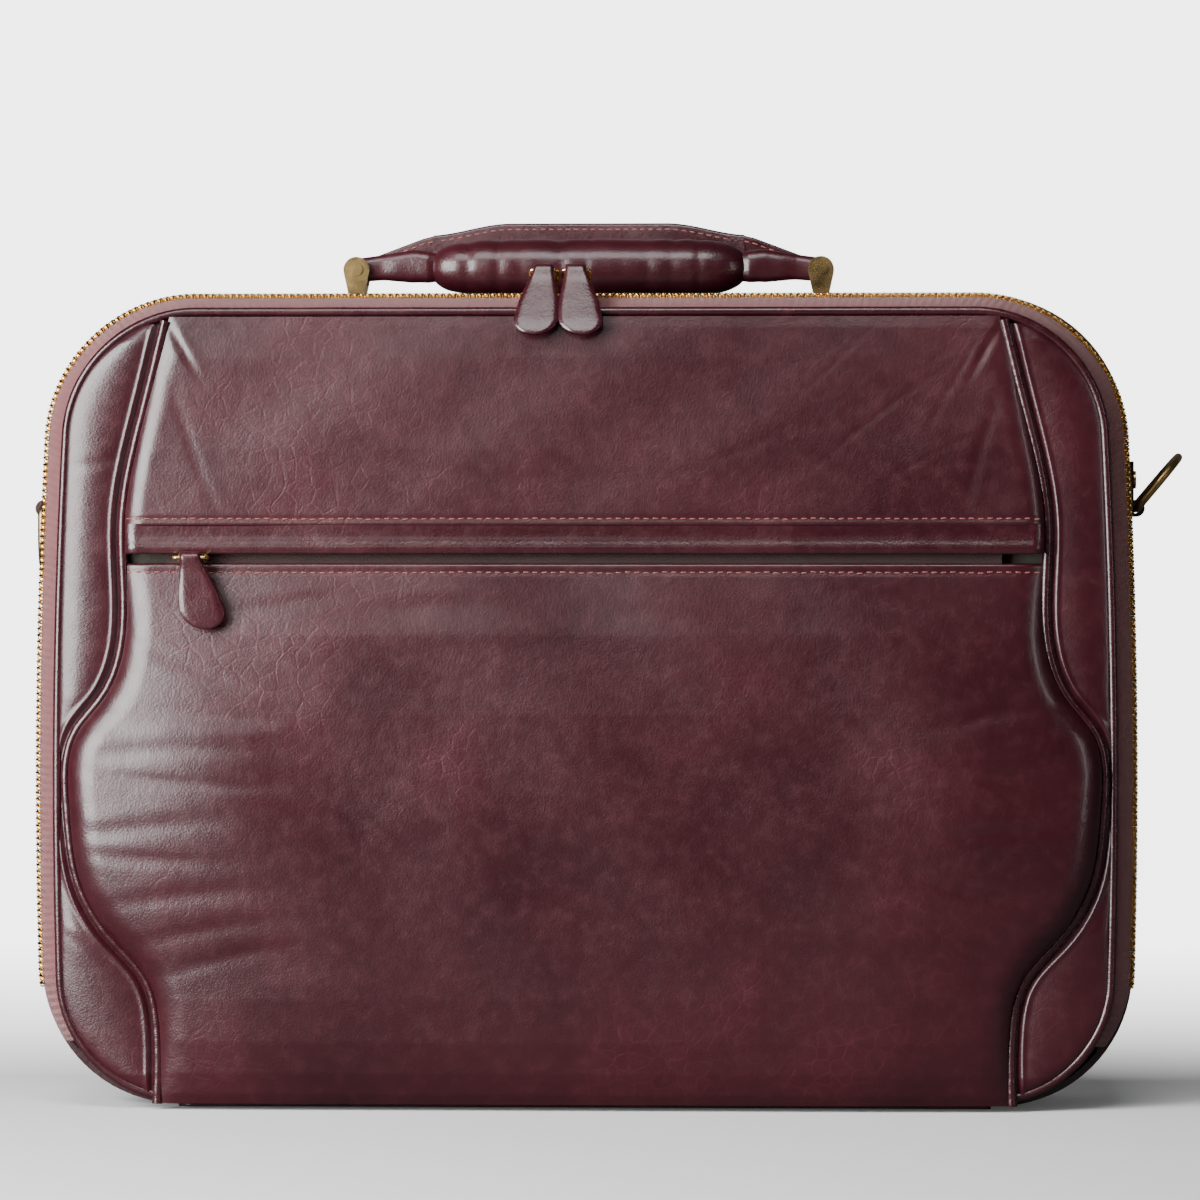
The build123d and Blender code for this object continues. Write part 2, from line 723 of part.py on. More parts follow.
with BuildPart() as pocket_lining:
    with BuildSketch(at_depth(board_front)):
        add(pocket_shape(3.4 + leather + 0.4))
        with Locations((0, (mouth_height - 6) / 2 + 8)):
            Rectangle(case_width + 40, mouth_height - 22, mode=Mode.INTERSECT)
    extrude(amount=0.8)
pocket_lining.part.label = "pocket_lining"
export_step(pocket_lining.part, "parts/pocket_lining.step")

# pocket zip, behind the flap

pocket_zip_z = mouth_height + 6.0
pocket_zip_y = lower_panel_top_y + leather + tape_thickness / 2
pocket_teeth_depth = 2.4
row_height = 2.5
row_gap = 0.6
pocket_zip_half = 0.376 * case_width
with BuildPart() as pocket_zip_teeth:
    for direction in (-1, 1):
        with Locations((0, pocket_zip_y, pocket_zip_z + direction * (row_gap + row_height / 2))):
            Box(2 * pocket_zip_half, pocket_teeth_depth, row_height)
pocket_zip_teeth.part.label = "pocket_zip_teeth"
export_step(pocket_zip_teeth.part, "parts/pocket_zip_teeth.step")

tape_top = pocket_zip_z + row_gap + row_height
tape_bottom = pocket_zip_z - row_gap - row_height
with BuildPart() as pocket_zip_tape:
    with Locations((0, pocket_zip_y, (tape_top + fold_height) / 2)):
        Box(2 * pocket_zip_half, tape_thickness, fold_height - tape_top)
    with Locations((0, pocket_zip_y, tape_bottom - 3.4)):
        Box(2 * pocket_zip_half, tape_thickness, 6.8)
    add(pocket_lower_panel.part, mode=Mode.SUBTRACT)
pocket_zip_tape.part.label = "pocket_zip_tape"
export_step(pocket_zip_tape.part, "parts/pocket_zip_tape.step")

plate = 1.2
plate_front = pocket_zip_y - pocket_teeth_depth / 2 - touch
plate_back = pocket_zip_y + pocket_teeth_depth / 2 + touch
bar_y = plate_front - plate - 1.5
bar_z = mouth_height + 2.2
with BuildPart() as pocket_slider:
    with Locations((pocket_slider_x, plate_front - plate / 2, mouth_height + 6.0)):
        Box(slider_length, plate, 10.4)
    with Locations((pocket_slider_x, plate_back + plate / 2, mouth_height + 6.0)):
        Box(slider_length, plate, 9.0)
    with Locations((pocket_slider_x, pocket_zip_y, pocket_zip_z)):
        Box(slider_length - 2, plate_back - plate_front + 1, row_gap)
    fillet(pocket_slider.edges().filter_by(Axis.Y).group_by(Axis.X)[0], radius=0.25)
    with Locations((pocket_slider_x, plate_front - plate - 1.4, bar_z)):
        Box(4.4, 3.0, 2.8)
    with Locations((pocket_slider_x, bar_y, bar_z)):
        Cylinder(radius=pull_wire + 0.15, height=8, rotation=(0, 90, 0), mode=Mode.SUBTRACT)
pocket_slider.part.label = "pocket_slider"
export_step(pocket_slider.part, "parts/pocket_slider.step")


def pull_ring(plane, wide, long):
    """Oval wire ring: one long side on the plane's x axis, the other a length away."""
    with BuildSketch(plane, mode=Mode.PRIVATE) as face:
        with Locations((0, long / 2)):
            RectangleRounded(wide, long, 0.2 * long)
    path = face.sketch.face().outer_wire()
    with BuildPart(mode=Mode.PRIVATE) as wire_ring:
        with BuildSketch(Plane(origin=path @ 0, z_dir=path % 0)):
            Circle(pull_wire)
        sweep(path=path)
    return wire_ring.part


def pull_tab(plane, top_width, foot_width, length, shift):
    """Folded leather tab hanging along the plane's -y from an eye on its origin."""
    with BuildPart(mode=Mode.PRIVATE) as tab:
        with BuildSketch(plane.offset(-pull_thickness / 2)):
            with BuildLine():
                Polyline(
                    (-top_width / 2, 0),
                    (top_width / 2, 0),
                    (shift + foot_width / 2, -length + foot_width * 0.35),
                    (shift + foot_width * 0.3, -length),
                    (shift - foot_width * 0.3, -length),
                    (shift - foot_width / 2, -length + foot_width * 0.35),
                    close=True,
                )
            make_face()
        extrude(amount=pull_thickness)
        upright = [e for e in tab.edges() if abs((e % 0.5).dot(plane.z_dir)) > 0.999]
        feet = sorted(upright, key=lambda e: (e.center() - plane.origin).dot(plane.y_dir))[:4]
        fillet(feet, radius=3.2)
        eye_plane = Plane(origin=plane.origin - plane.x_dir * (top_width / 2), z_dir=plane.x_dir)
        with BuildSketch(eye_plane):
            Circle(2.3)
        extrude(amount=top_width)
        with BuildSketch(eye_plane.offset(-1)):
            Circle(pull_wire + 0.25)
        extrude(amount=top_width + 2, mode=Mode.SUBTRACT)
    return tab.part


pocket_ring_long = 6.4
pocket_ring_plane = Plane(origin=(pocket_slider_x, bar_y, bar_z), x_dir=(1, 0, 0), z_dir=(0, 0, -1))
with BuildPart() as pocket_ring:
    add(pull_ring(pocket_ring_plane, 12.8, pocket_ring_long))
pocket_ring.part.label = "pocket_ring"
export_step(pocket_ring.part, "parts/pocket_ring.step")

pocket_eye = (pocket_slider_x, bar_y - pocket_ring_long, bar_z)
with BuildPart() as pocket_pull:
    add(pull_tab(Plane(origin=pocket_eye, x_dir=(1, 0, 0), z_dir=(0, -1, 0)), 8.2, 17.0, 27.0, 6.0))
pocket_pull.part.label = "pocket_pull"
export_step(pocket_pull.part, "parts/pocket_pull.step")

# main zip sliders, rings and pulls

wing_top = case_height + 0.5
wing_under = case_height - tooth_height - 0.5
bridge_z = wing_top + 3.3
rise = radians(main_ring_rise)
main_ring_long = 7.0
main_ring_wide = main_slider_right_x - main_slider_left_x - 2 * pull_wire - 0.5
main_lean = radians(30.0)
for slider_x, name in ((main_slider_left_x, "left"), (main_slider_right_x, "right")):
    with BuildPart() as main_slider:
        with Locations((slider_x, zip_split - 0.2, wing_top + 0.75)):
            Box(slider_length, 8.6, 1.5)
        with Locations((slider_x, zip_split - 0.2, wing_under - 0.7)):
            Box(slider_length, 8.6, 1.4)
        fillet(main_slider.edges().filter_by(Axis.Z), radius=2.2)
        with Locations((slider_x, zip_split, case_height - tooth_height / 2)):
            Box(slider_length - 3, web_thickness, tooth_height + 2)
        with Locations((slider_x, zip_split - 1.0, wing_top + 3.2)):
            Box(4.4, 4.0, 4.0)
        with Locations((slider_x, zip_split - 1.0, bridge_z)):
            Cylinder(radius=pull_wire + 0.2, height=8, rotation=(0, 90, 0), mode=Mode.SUBTRACT)
    main_slider.part.label = f"main_slider_{name}"
    export_step(main_slider.part, f"parts/main_slider_{name}.step")

    ring_origin = (slider_x, zip_split - 1.0, bridge_z)
    ring_face = Plane(origin=ring_origin, x_dir=(1, 0, 0), z_dir=(0, -sin(rise), -cos(rise)))
    with BuildPart() as main_ring:
        add(pull_ring(ring_face, main_ring_wide, main_ring_long))
    main_ring.part.label = f"main_ring_{name}"
    export_step(main_ring.part, f"parts/main_ring_{name}.step")

    eye_y = ring_origin[1] - main_ring_long * cos(rise)
    eye_z = bridge_z + main_ring_long * sin(rise)
    tab_face = Plane(origin=(slider_x, eye_y, eye_z), x_dir=(1, 0, 0), z_dir=(0, -cos(main_lean), sin(main_lean)))
    with BuildPart() as main_pull:
        add(pull_tab(tab_face, 6.8, 17.0, 29.0, -3.0 if name == "left" else 3.0))
    main_pull.part.label = f"main_pull_{name}"
    export_step(main_pull.part, f"parts/main_pull_{name}.step")
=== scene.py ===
import json
import math
import bmesh
import bpy
import numpy as np
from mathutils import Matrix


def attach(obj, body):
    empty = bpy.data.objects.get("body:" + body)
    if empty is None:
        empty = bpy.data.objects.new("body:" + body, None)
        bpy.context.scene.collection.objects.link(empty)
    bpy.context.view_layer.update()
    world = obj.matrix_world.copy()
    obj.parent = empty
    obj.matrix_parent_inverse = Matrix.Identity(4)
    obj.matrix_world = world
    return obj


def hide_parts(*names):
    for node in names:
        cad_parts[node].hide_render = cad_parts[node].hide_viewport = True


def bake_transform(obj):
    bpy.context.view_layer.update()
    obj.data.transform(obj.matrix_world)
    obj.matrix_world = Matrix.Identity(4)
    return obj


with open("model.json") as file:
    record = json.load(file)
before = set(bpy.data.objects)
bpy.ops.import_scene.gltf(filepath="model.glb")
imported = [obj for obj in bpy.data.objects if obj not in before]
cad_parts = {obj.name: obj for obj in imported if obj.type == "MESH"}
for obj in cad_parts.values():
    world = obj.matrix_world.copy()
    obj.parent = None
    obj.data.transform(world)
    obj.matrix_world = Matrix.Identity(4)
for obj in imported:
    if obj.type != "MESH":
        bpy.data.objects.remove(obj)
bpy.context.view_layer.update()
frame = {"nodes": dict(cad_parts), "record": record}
nodes = frame["nodes"]
mm = 0.001
rng = np.random.default_rng(7)

# the case in millimetres; widest is the share of the height at which the sides stand furthest out
caseSize = dict(width=420.0, height=310.0, widest=0.39, footLean=3.0, topLean=7.0)


# shared shapes, all in millimetres


# x of the case's side at height z: the circle through foot, widest point and shoulder
def sideAt(z):
    half = caseSize["width"] / 2
    pts = np.array([[half - caseSize["footLean"], 0.0],
                    [half, caseSize["widest"] * caseSize["height"]],
                    [half - caseSize["topLean"], caseSize["height"]]])
    rows = np.column_stack([2 * pts, np.ones(3)])
    cx, cz, k = np.linalg.solve(rows, (pts ** 2).sum(axis=1))
    return cx + np.sqrt(k + cx * cx + cz * cz - (z - cz) ** 2)


# closed case outline moved in at side, top and bottom: side arcs, straight top and foot, and a cubic
# Bezier for each rounded corner; count points evenly spaced, clockwise from the left foot
def outline(side, top, bottom, topRadius, bottomRadius, count):
    height = caseSize["height"] - top
    t = np.linspace(0, 1, 60)[:, None]

    def bend(a, b, c, d):
        return (1 - t) ** 3 * a + 3 * t * (1 - t) ** 2 * b + 3 * t * t * (1 - t) * c + t ** 3 * d

    def sidePoint(z):
        return np.array([sideAt(z) - side, z])

    def sideWay(z):
        way = sidePoint(z + 1) - sidePoint(z - 1)
        return way / np.linalg.norm(way)

    k = 0.5523   # handle length that makes a cubic close to a quarter circle
    low, high = bottom + bottomRadius, height - topRadius
    zs = np.linspace(low, high, 120)
    right = np.column_stack([sideAt(zs) - side, zs])
    cornerTop = sideAt(height) - side
    cornerFoot = sideAt(bottom) - side
    topStart, topEnd = sidePoint(high), np.array([cornerTop - topRadius, height])
    footStart, footEnd = np.array([cornerFoot - bottomRadius, bottom]), sidePoint(low)
    topBend = bend(topStart, topStart + sideWay(high) * k * topRadius, topEnd + [k * topRadius, 0], topEnd)
    footBend = bend(footStart, footStart + [k * bottomRadius, 0],
                    footEnd - sideWay(low) * k * bottomRadius, footEnd)
    half = np.vstack([footBend, right[1:-1], topBend])
    left = half * [-1, 1]
    loop = np.vstack([left, half[::-1], left[:1]])
    steps = np.r_[0, np.cumsum(np.linalg.norm(np.diff(loop, axis=0), axis=1))]
    at = np.linspace(0, steps[-1], count + 1)[:-1]
    return np.column_stack([np.interp(at, steps, loop[:, 0]), np.interp(at, steps, loop[:, 1])])


# unit way along a closed loop, and the outward way square to it
def loopWays(loop):
    along = np.roll(loop, -1, axis=0) - np.roll(loop, 1, axis=0)
    along /= np.linalg.norm(along, axis=1)[:, None]
    return along, np.column_stack([-along[:, 1], along[:, 0]])


# smooth curve through points: a natural cubic in the running chord length
def smoothCurve(points, count):
    points = np.asarray(points, float)
    s = np.r_[0, np.cumsum(np.linalg.norm(np.diff(points, axis=0), axis=1))]
    n, h = len(s), np.diff(s)
    a = np.eye(n)
    r = np.zeros((n, points.shape[1]))
    i = np.arange(1, n - 1)
    a[i, i - 1], a[i, i], a[i, i + 1] = h[:-1], 2 * (h[:-1] + h[1:]), h[1:]
    r[1:-1] = 6 * (np.diff(points, axis=0)[1:] / h[1:, None] - np.diff(points, axis=0)[:-1] / h[:-1, None])
    m = np.linalg.solve(a, r)
    at = np.linspace(0, s[-1], count)
    j = np.clip(np.searchsorted(s, at, side="right") - 1, 0, n - 2)
    d, e, w = (s[j + 1] - at)[:, None], (at - s[j])[:, None], h[j][:, None]
    first = (m[j] * d ** 3 + m[j + 1] * e ** 3) / (6 * w)
    second = (points[j] / w - m[j] * w / 6) * d + (points[j + 1] / w - m[j + 1] * w / 6) * e
    return first + second


half = caseSize["width"] / 2
pocketEdge = smoothCurve([
    (half - 52, 302), (half - 43, 265), (half - 35, 223), (half - 34.5, 175.2), (half - 27, 155.9),
    (half - 17, 142.9), (half - 14, 111.9), (half - 18, 85.9), (half - 30, 65.1), (half - 44, 48.1),
    (half - 48, 30.1), (half - 48, 2)], 400)


# half width of the pocket front at height z
def pocketHalf(z):
    return np.interp(z, pocketEdge[::-1, 1], pocketEdge[::-1, 0])


# distance from the pocket's edge, square to it: the sideways gap times the cosine of the edge's lean
def edgeDistance(x, z):
    lean = np.gradient(pocketEdge[::-1, 0], pocketEdge[::-1, 1])
    slope = np.interp(z, pocketEdge[::-1, 1], lean)
    return (pocketHalf(z) - np.abs(x)) / np.sqrt(1 + slope ** 2)


def bell(value, width):   # exp(-(value/width)^2)
    return np.exp(-(value / width) ** 2)


def rise(value, start, end):   # smooth step from 0 at start to 1 at end
    t = np.clip((value - start) / (end - start), 0, 1)
    return t * t * (3 - 2 * t)


# soft crease: a trough with raised shoulders along a short line at an angle
def crease(x, z, cx, cz, angle, length, width, depth):
    c, s = math.cos(math.radians(angle)), math.sin(math.radians(angle))
    along, across = (x - cx) * c + (z - cz) * s, -(x - cx) * s + (z - cz) * c
    across = across + 0.0012 * along ** 2 * (1 if angle > 0 else -1)
    return -depth * bell(along, length / 2) * (bell(across, width) - 0.55 * bell(across, width * 2.3))


# mesh making


# smooth object from points and faces in millimetres, with an optional uv layer in metres
def makeMesh(name, points, faces, material, uv=None):
    mesh = bpy.data.meshes.new(name)
    mesh.from_pydata((np.asarray(points) * mm).tolist(), [], np.asarray(faces).tolist())
    mesh.polygons.foreach_set("use_smooth", np.full(len(mesh.polygons), True))
    if uv is not None:
        layer = mesh.uv_layers.new(name="cloth")
        layer.data.foreach_set("uv", (np.asarray(uv)[np.asarray(faces).ravel()] * mm).ravel())
    mesh.materials.append(material)
    mesh.update()
    obj = bpy.data.objects.new(name, mesh)
    bpy.context.scene.collection.objects.link(obj)
    return obj


# quads of a grid of rows by columns, closed either way if asked
def gridFaces(rows, cols, closeRows=False, closeCols=False, flip=False):
    i = np.arange(rows if closeRows else rows - 1)[:, None]
    j = np.arange(cols if closeCols else cols - 1)[None, :]
    a, b = i * cols + j, i * cols + (j + 1) % cols
    c, d = ((i + 1) % rows) * cols + (j + 1) % cols, ((i + 1) % rows) * cols + j
    quads = np.stack([a, b, c, d], axis=-1).reshape(-1, 4)
    return quads[:, ::-1] if flip else quads


# a surface given as rows x cols x 3 points, a quad between each four neighbours
def makeSurface(name, grid, material, uv=None, flip=False, closeRows=False, closeCols=False):
    rows, cols = grid.shape[:2]
    faces = gridFaces(rows, cols, closeRows, closeCols, flip)
    return makeMesh(name, grid.reshape(-1, 3), faces, material, None if uv is None else uv.reshape(-1, 2))


# a tube round a path that stays in one upright plane: each ring is path + radius * (normal cos + depth sin)
def makeTube(name, path, depthY, radius, material, closed, sides=20):
    if closed:
        along, out = loopWays(path)
    else:
        along = np.gradient(path, axis=0)
        along /= np.linalg.norm(along, axis=1)[:, None]
        out = np.column_stack([-along[:, 1], along[:, 0]])
    radius = np.broadcast_to(radius, len(path))
    turn = np.linspace(0, 2 * np.pi, sides, endpoint=False)
    x = path[:, 0, None] + radius[:, None] * out[:, 0, None] * np.cos(turn)
    z = path[:, 1, None] + radius[:, None] * out[:, 1, None] * np.cos(turn)
    y = depthY + radius[:, None] * np.sin(turn) * np.ones_like(x)
    return makeSurface(name, np.stack([x, y, z], axis=-1), material, closeRows=closed, closeCols=True)


# copies of one small shape: corner points times each copy's three ways, plus its place
def makeCopies(name, points, faces, places, waysA, waysB, waysC, material):
    points = np.asarray(points, float)
    moved = (places[:, None, :] + points[None, :, 0, None] * waysA[:, None, :]
             + points[None, :, 1, None] * waysB[:, None, :] + points[None, :, 2, None] * waysC[:, None, :])
    shift = np.arange(len(places))[:, None, None] * len(points)
    return makeMesh(name, moved.reshape(-1, 3), (np.asarray(faces)[None] + shift).reshape(-1, 4), material)


# a stitch: a round-ended thread along its first way, its ends sunk by a fourth power of the place along it
def stitchShape(length, thick):
    u = np.linspace(-1, 1, 9)
    r = thick / 2 * np.sqrt(np.clip(1 - np.abs(u) ** 5, 0.02, 1))
    sag = -0.25 * thick * u ** 4
    turn = np.linspace(0, 2 * np.pi, 8, endpoint=False)
    grid = np.stack([u[:, None] * length / 2 * np.ones(8), r[:, None] * np.cos(turn),
                     sag[:, None] + r[:, None] * np.sin(turn)], axis=-1)
    return grid.reshape(-1, 3), gridFaces(9, 8, closeCols=True)


def finish(obj, body, slot, *replaced):   # a piece rides on its body, and stands for CAD nodes
    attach(obj, body)
    if replaced:
        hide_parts(*replaced)
    return obj


# materials


# "#rrggbb" to linear light: ((c + 0.055) / 1.055) ^ 2.4 above 0.04045
def linear(code):
    value = np.array([int(code[i:i + 2], 16) for i in (1, 3, 5)]) / 255
    value = np.where(value <= 0.04045, value / 12.92, ((value + 0.055) / 1.055) ** 2.4)
    return (*value.tolist(), 1.0)


# adds a node with its settings; an input is a number, a colour or another node's output
def addNode(tree, kind, inputs=None, **settings):
    node = tree.nodes.new("ShaderNode" + kind)
    for key, value in settings.items():
        setattr(node, key, value)
    for key, value in (inputs or {}).items():
        if isinstance(value, bpy.types.NodeSocket):
            tree.links.new(value, node.inputs[key])
        else:
            node.inputs[key].default_value = value
    return node


# a node material: its Principled shader, and the piece's own coordinates in metres
def newMaterial(name):
    material = bpy.data.materials.new(name)
    material.use_nodes = True
    tree = material.node_tree
    return material, tree, tree.nodes["Principled BSDF"], addNode(tree, "TexCoord").outputs["Object"]


# one operation on two numbers or sockets
def doMath(tree, what, a, b=0.0):
    return addNode(tree, "Math", {0: a, 1: b}, operation=what).outputs[0]


# colour a at factor 0, b at factor 1, and a straight mix between
def blendColour(tree, factor, a, b):
    return addNode(tree, "Mix", {0: factor, 6: a, 7: b}, data_type="RGBA").outputs[2]


# value from low to high carried in a straight line to newLow to newHigh, and held at both ends
def between(tree, value, low, high, newLow=0.0, newHigh=1.0):
    return addNode(tree, "MapRange", {0: value, 1: low, 2: high, 3: newLow, 4: newHigh}).outputs[0]


leatherLook = dict(deep="#290810", middle="#40101a", light="#5a222b", roughLow=0.27, roughHigh=0.40,
                   grainSize=0.9, poreSize=0.4, blotchSize=70.0, creaseSize=7.0, coat=0.28)


# glazed cowhide, drum dyed oxblood: cloudy noise for the dye, a fine cell pattern for the pebble, hair-thin
# creases along larger cells where the cloud is strong, and a roughness that follows both noises
def leatherMaterial(name, look, creaseDepth=1.0):
    material, tree, shader, place = newMaterial(name)
    warp = addNode(tree, "TexNoise", {"Vector": place, "Scale": 60.0, "Detail": 3.0})
    warped = addNode(tree, "MixRGB", {0: 0.006, 1: place, 2: warp.outputs["Color"]},
                     blend_type="ADD").outputs[0]
    blotch = addNode(tree, "TexNoise", {"Vector": place, "Scale": 1000 / look["blotchSize"], "Detail": 5.0,
                                        "Roughness": 0.6}).outputs["Fac"]
    fine = addNode(tree, "TexNoise", {"Vector": place, "Scale": 1000 / 6.0, "Detail": 6.0, "Roughness": 0.65})
    veins = addNode(tree, "TexVoronoi", {"Vector": warped, "Scale": 1000 / look["creaseSize"]},
                    feature="DISTANCE_TO_EDGE")
    where = between(tree, blotch, 0.5, 0.68)
    line = between(tree, veins.outputs["Distance"], 0.0, 0.09, 1.0, 0.0)
    vein = doMath(tree, "SUBTRACT", 1.0, doMath(tree, "MULTIPLY", line, where))
    pebble = addNode(tree, "TexVoronoi", {"Vector": warped, "Scale": 1000 / look["grainSize"]})
    pore = addNode(tree, "TexNoise", {"Vector": place, "Scale": 1000 / look["poreSize"], "Detail": 2.0})
    tone = blendColour(tree, between(tree, blotch, 0.25, 0.75), linear(look["deep"]), linear(look["middle"]))
    tone = blendColour(tree, between(tree, fine.outputs["Fac"], 0.5, 0.95, 0.0, 0.4),
                       tone, linear(look["light"]))
    tone = blendColour(tree, between(tree, vein, 0.0, 1.0, 0.22, 0.0), tone, linear(look["light"]))
    shader.inputs["Roughness"].default_value = 0.3
    rough = between(tree, doMath(tree, "ADD", blotch, fine.outputs["Fac"]), 0.7, 1.3,
                    look["roughLow"], look["roughHigh"])
    tree.links.new(tone, shader.inputs["Base Color"])
    tree.links.new(rough, shader.inputs["Roughness"])
    shader.inputs["Specular IOR Level"].default_value = 0.55
    shader.inputs["Coat Weight"].default_value = look["coat"]
    shader.inputs["Coat Roughness"].default_value = 0.16
    bump = addNode(tree, "Bump", {"Height": pebble.outputs["Distance"], "Strength": 0.16, "Distance": 0.0003})
    bump = addNode(tree, "Bump", {"Height": pore.outputs["Fac"], "Strength": 0.10, "Distance": 0.0002,
                                  "Normal": bump.outputs[0]})
    bump = addNode(tree, "Bump", {"Height": vein, "Strength": 0.16 * creaseDepth, "Distance": 0.0003,
                                  "Normal": bump.outputs[0]})
    bump = addNode(tree, "Bump", {"Height": blotch, "Strength": 0.22, "Distance": 0.004,
                                  "Normal": bump.outputs[0]})
    tree.links.new(bump.outputs[0], shader.inputs["Normal"])
    return material


tapeLook = dict(light="#8f4d4e", dark="#5c2c2e", zigWidth=1.5, rib=0.8)


# cotton zip tape in a herringbone: ribs in the phase (across + zigzag of along) / rib
def tapeMaterial(name, look):
    material, tree, shader, place = newMaterial(name)
    uv = addNode(tree, "UVMap", uv_map="cloth").outputs[0]
    parts = addNode(tree, "SeparateXYZ", {0: uv})
    zig = doMath(tree, "PINGPONG", parts.outputs[0], look["zigWidth"] * mm)
    phase = doMath(tree, "MULTIPLY", doMath(tree, "ADD", parts.outputs[1], zig),
                   2 * math.pi / (look["rib"] * mm))
    rib = doMath(tree, "SINE", phase)
    noise = addNode(tree, "TexNoise", {"Vector": place, "Scale": 1000 / 5.0, "Detail": 6.0})
    tone = blendColour(tree, between(tree, rib, -1, 1), linear(look["dark"]), linear(look["light"]))
    tone = blendColour(tree, between(tree, noise.outputs["Fac"], 0.35, 0.75, 0.0, 0.45),
                       tone, linear(look["dark"]))
    tree.links.new(tone, shader.inputs["Base Color"])
    shader.inputs["Roughness"].default_value = 0.72
    shader.inputs["Sheen Weight"].default_value = 0.3
    bump = addNode(tree, "Bump", {"Height": rib, "Strength": 0.6, "Distance": 0.0002})
    tree.links.new(bump.outputs[0], shader.inputs["Normal"])
    return material


# cast and tumbled brass: colour and polish vary a little, with fine tumbling marks
def brassMaterial(name, bright, dull, rough, tarnish):
    material, tree, shader, place = newMaterial(name)
    cloud = addNode(tree, "TexNoise", {"Vector": place, "Scale": 1000 / 7.0, "Detail": 5.0}).outputs["Fac"]
    marks = addNode(tree, "TexNoise", {"Vector": place, "Scale": 1000 / 0.5, "Detail": 3.0}).outputs["Fac"]
    tone = blendColour(tree, between(tree, cloud, 0.4, 0.75, 0.0, tarnish), linear(bright), linear(dull))
    tree.links.new(tone, shader.inputs["Base Color"])
    tree.links.new(between(tree, cloud, 0.3, 0.7, rough, rough + 0.14), shader.inputs["Roughness"])
    shader.inputs["Metallic"].default_value = 1.0
    bump = addNode(tree, "Bump", {"Height": marks, "Strength": 0.12, "Distance": 0.0001})
    tree.links.new(bump.outputs[0], shader.inputs["Normal"])
    return material


# plain weave cotton: the product of a sine along x + 0.7 y and one along z + 0.7 y
def clothMaterial(name, light, dark, thread):
    material, tree, shader, place = newMaterial(name)
    parts = addNode(tree, "SeparateXYZ", {0: place})
    first = doMath(tree, "ADD", parts.outputs[0], doMath(tree, "MULTIPLY", parts.outputs[1], 0.7))
    second = doMath(tree, "ADD", parts.outputs[2], doMath(tree, "MULTIPLY", parts.outputs[1], 0.7))
    k = 2 * math.pi / (thread * mm)
    weave = doMath(tree, "MULTIPLY", doMath(tree, "SINE", doMath(tree, "MULTIPLY", first, k)),
                   doMath(tree, "SINE", doMath(tree, "MULTIPLY", second, k)))
    noise = addNode(tree, "TexNoise", {"Vector": place, "Scale": 1000 / 9.0, "Detail": 5.0}).outputs["Fac"]
    tone = blendColour(tree, between(tree, weave, -1, 1), linear(dark), linear(light))
    tone = blendColour(tree, between(tree, noise, 0.35, 0.7, 0.0, 0.4), tone, linear(dark))
    tree.links.new(tone, shader.inputs["Base Color"])
    shader.inputs["Roughness"].default_value = 0.85
    bump = addNode(tree, "Bump", {"Height": weave, "Strength": 0.5, "Distance": 0.0003})
    tree.links.new(bump.outputs[0], shader.inputs["Normal"])
    return material


# waxed linen thread: two twisted plies, a sine along x+y+z
def threadMaterial(name, light, dark):
    material, tree, shader, place = newMaterial(name)
    total = addNode(tree, "VectorMath", {0: place, 1: (1.0, 1.0, 1.0)},
                    operation="DOT_PRODUCT").outputs["Value"]
    twist = doMath(tree, "SINE", doMath(tree, "MULTIPLY", total, 2 * math.pi / (0.45 * mm)))
    tone = blendColour(tree, between(tree, twist, -1, 1), linear(dark), linear(light))
    tree.links.new(tone, shader.inputs["Base Color"])
    shader.inputs["Roughness"].default_value = 0.55
    bump = addNode(tree, "Bump", {"Height": twist, "Strength": 0.4, "Distance": 0.0001})
    tree.links.new(bump.outputs[0], shader.inputs["Normal"])
    return material


leather = leatherMaterial("oxblood_leather", leatherLook)
pipingLeather = leatherMaterial("oxblood_piping", {**leatherLook, "middle": "#3c131a", "light": "#5c2a31",
                                                   "roughLow": 0.2, "roughHigh": 0.34}, 0.5)
gussetLeather = leatherMaterial("oxblood_gusset", {**leatherLook, "middle": "#331017"}, 0.7)
tape = tapeMaterial("herringbone_tape", tapeLook)
brass = brassMaterial("pale_brass", "#e8c789", "#b98f4f", 0.16, 0.5)
oldBrass = brassMaterial("antique_brass", "#a98a5a", "#4d3a25", 0.3, 0.9)
steel = brassMaterial("zinc_steel", "#b9bcc0", "#8a8d91", 0.3, 0.4)
lining = clothMaterial("cotton_lining", "#4a3532", "#2c1d1c", 0.9)
padding = clothMaterial("padded_cotton", "#50403c", "#33231f", 1.3)
board = clothMaterial("stiffening_board", "#5a534b", "#3d3832", 0.6)
thread = threadMaterial("waxed_thread", "#b0625c", "#6d332f")

slotMaterial = {"leather_oxblood": gussetLeather, "lining_fabric": lining, "zip_tape": tape, "brass": brass,
                "antique_brass": oldBrass, "steel": steel, "stiff_board": board, "foam_padding": padding}
# painted shade: the pocket zip's teeth and tape get the dark lining cloth instead of brass and tape, to stand
# for the shade behind the flap
paintedShadeParts = {"pocket_zip_teeth": lining, "pocket_zip_tape": lining}   # hardly lit behind the flap
for part in frame["record"]["subparts"]:
    obj = nodes[part["node"]]
    for one in obj.material_slots:
        one.link = "OBJECT"
        one.material = paintedShadeParts.get(part["node"], slotMaterial[part["material_slot"]])
print("materials ready")

# camera and light, as the studio that the case stands in

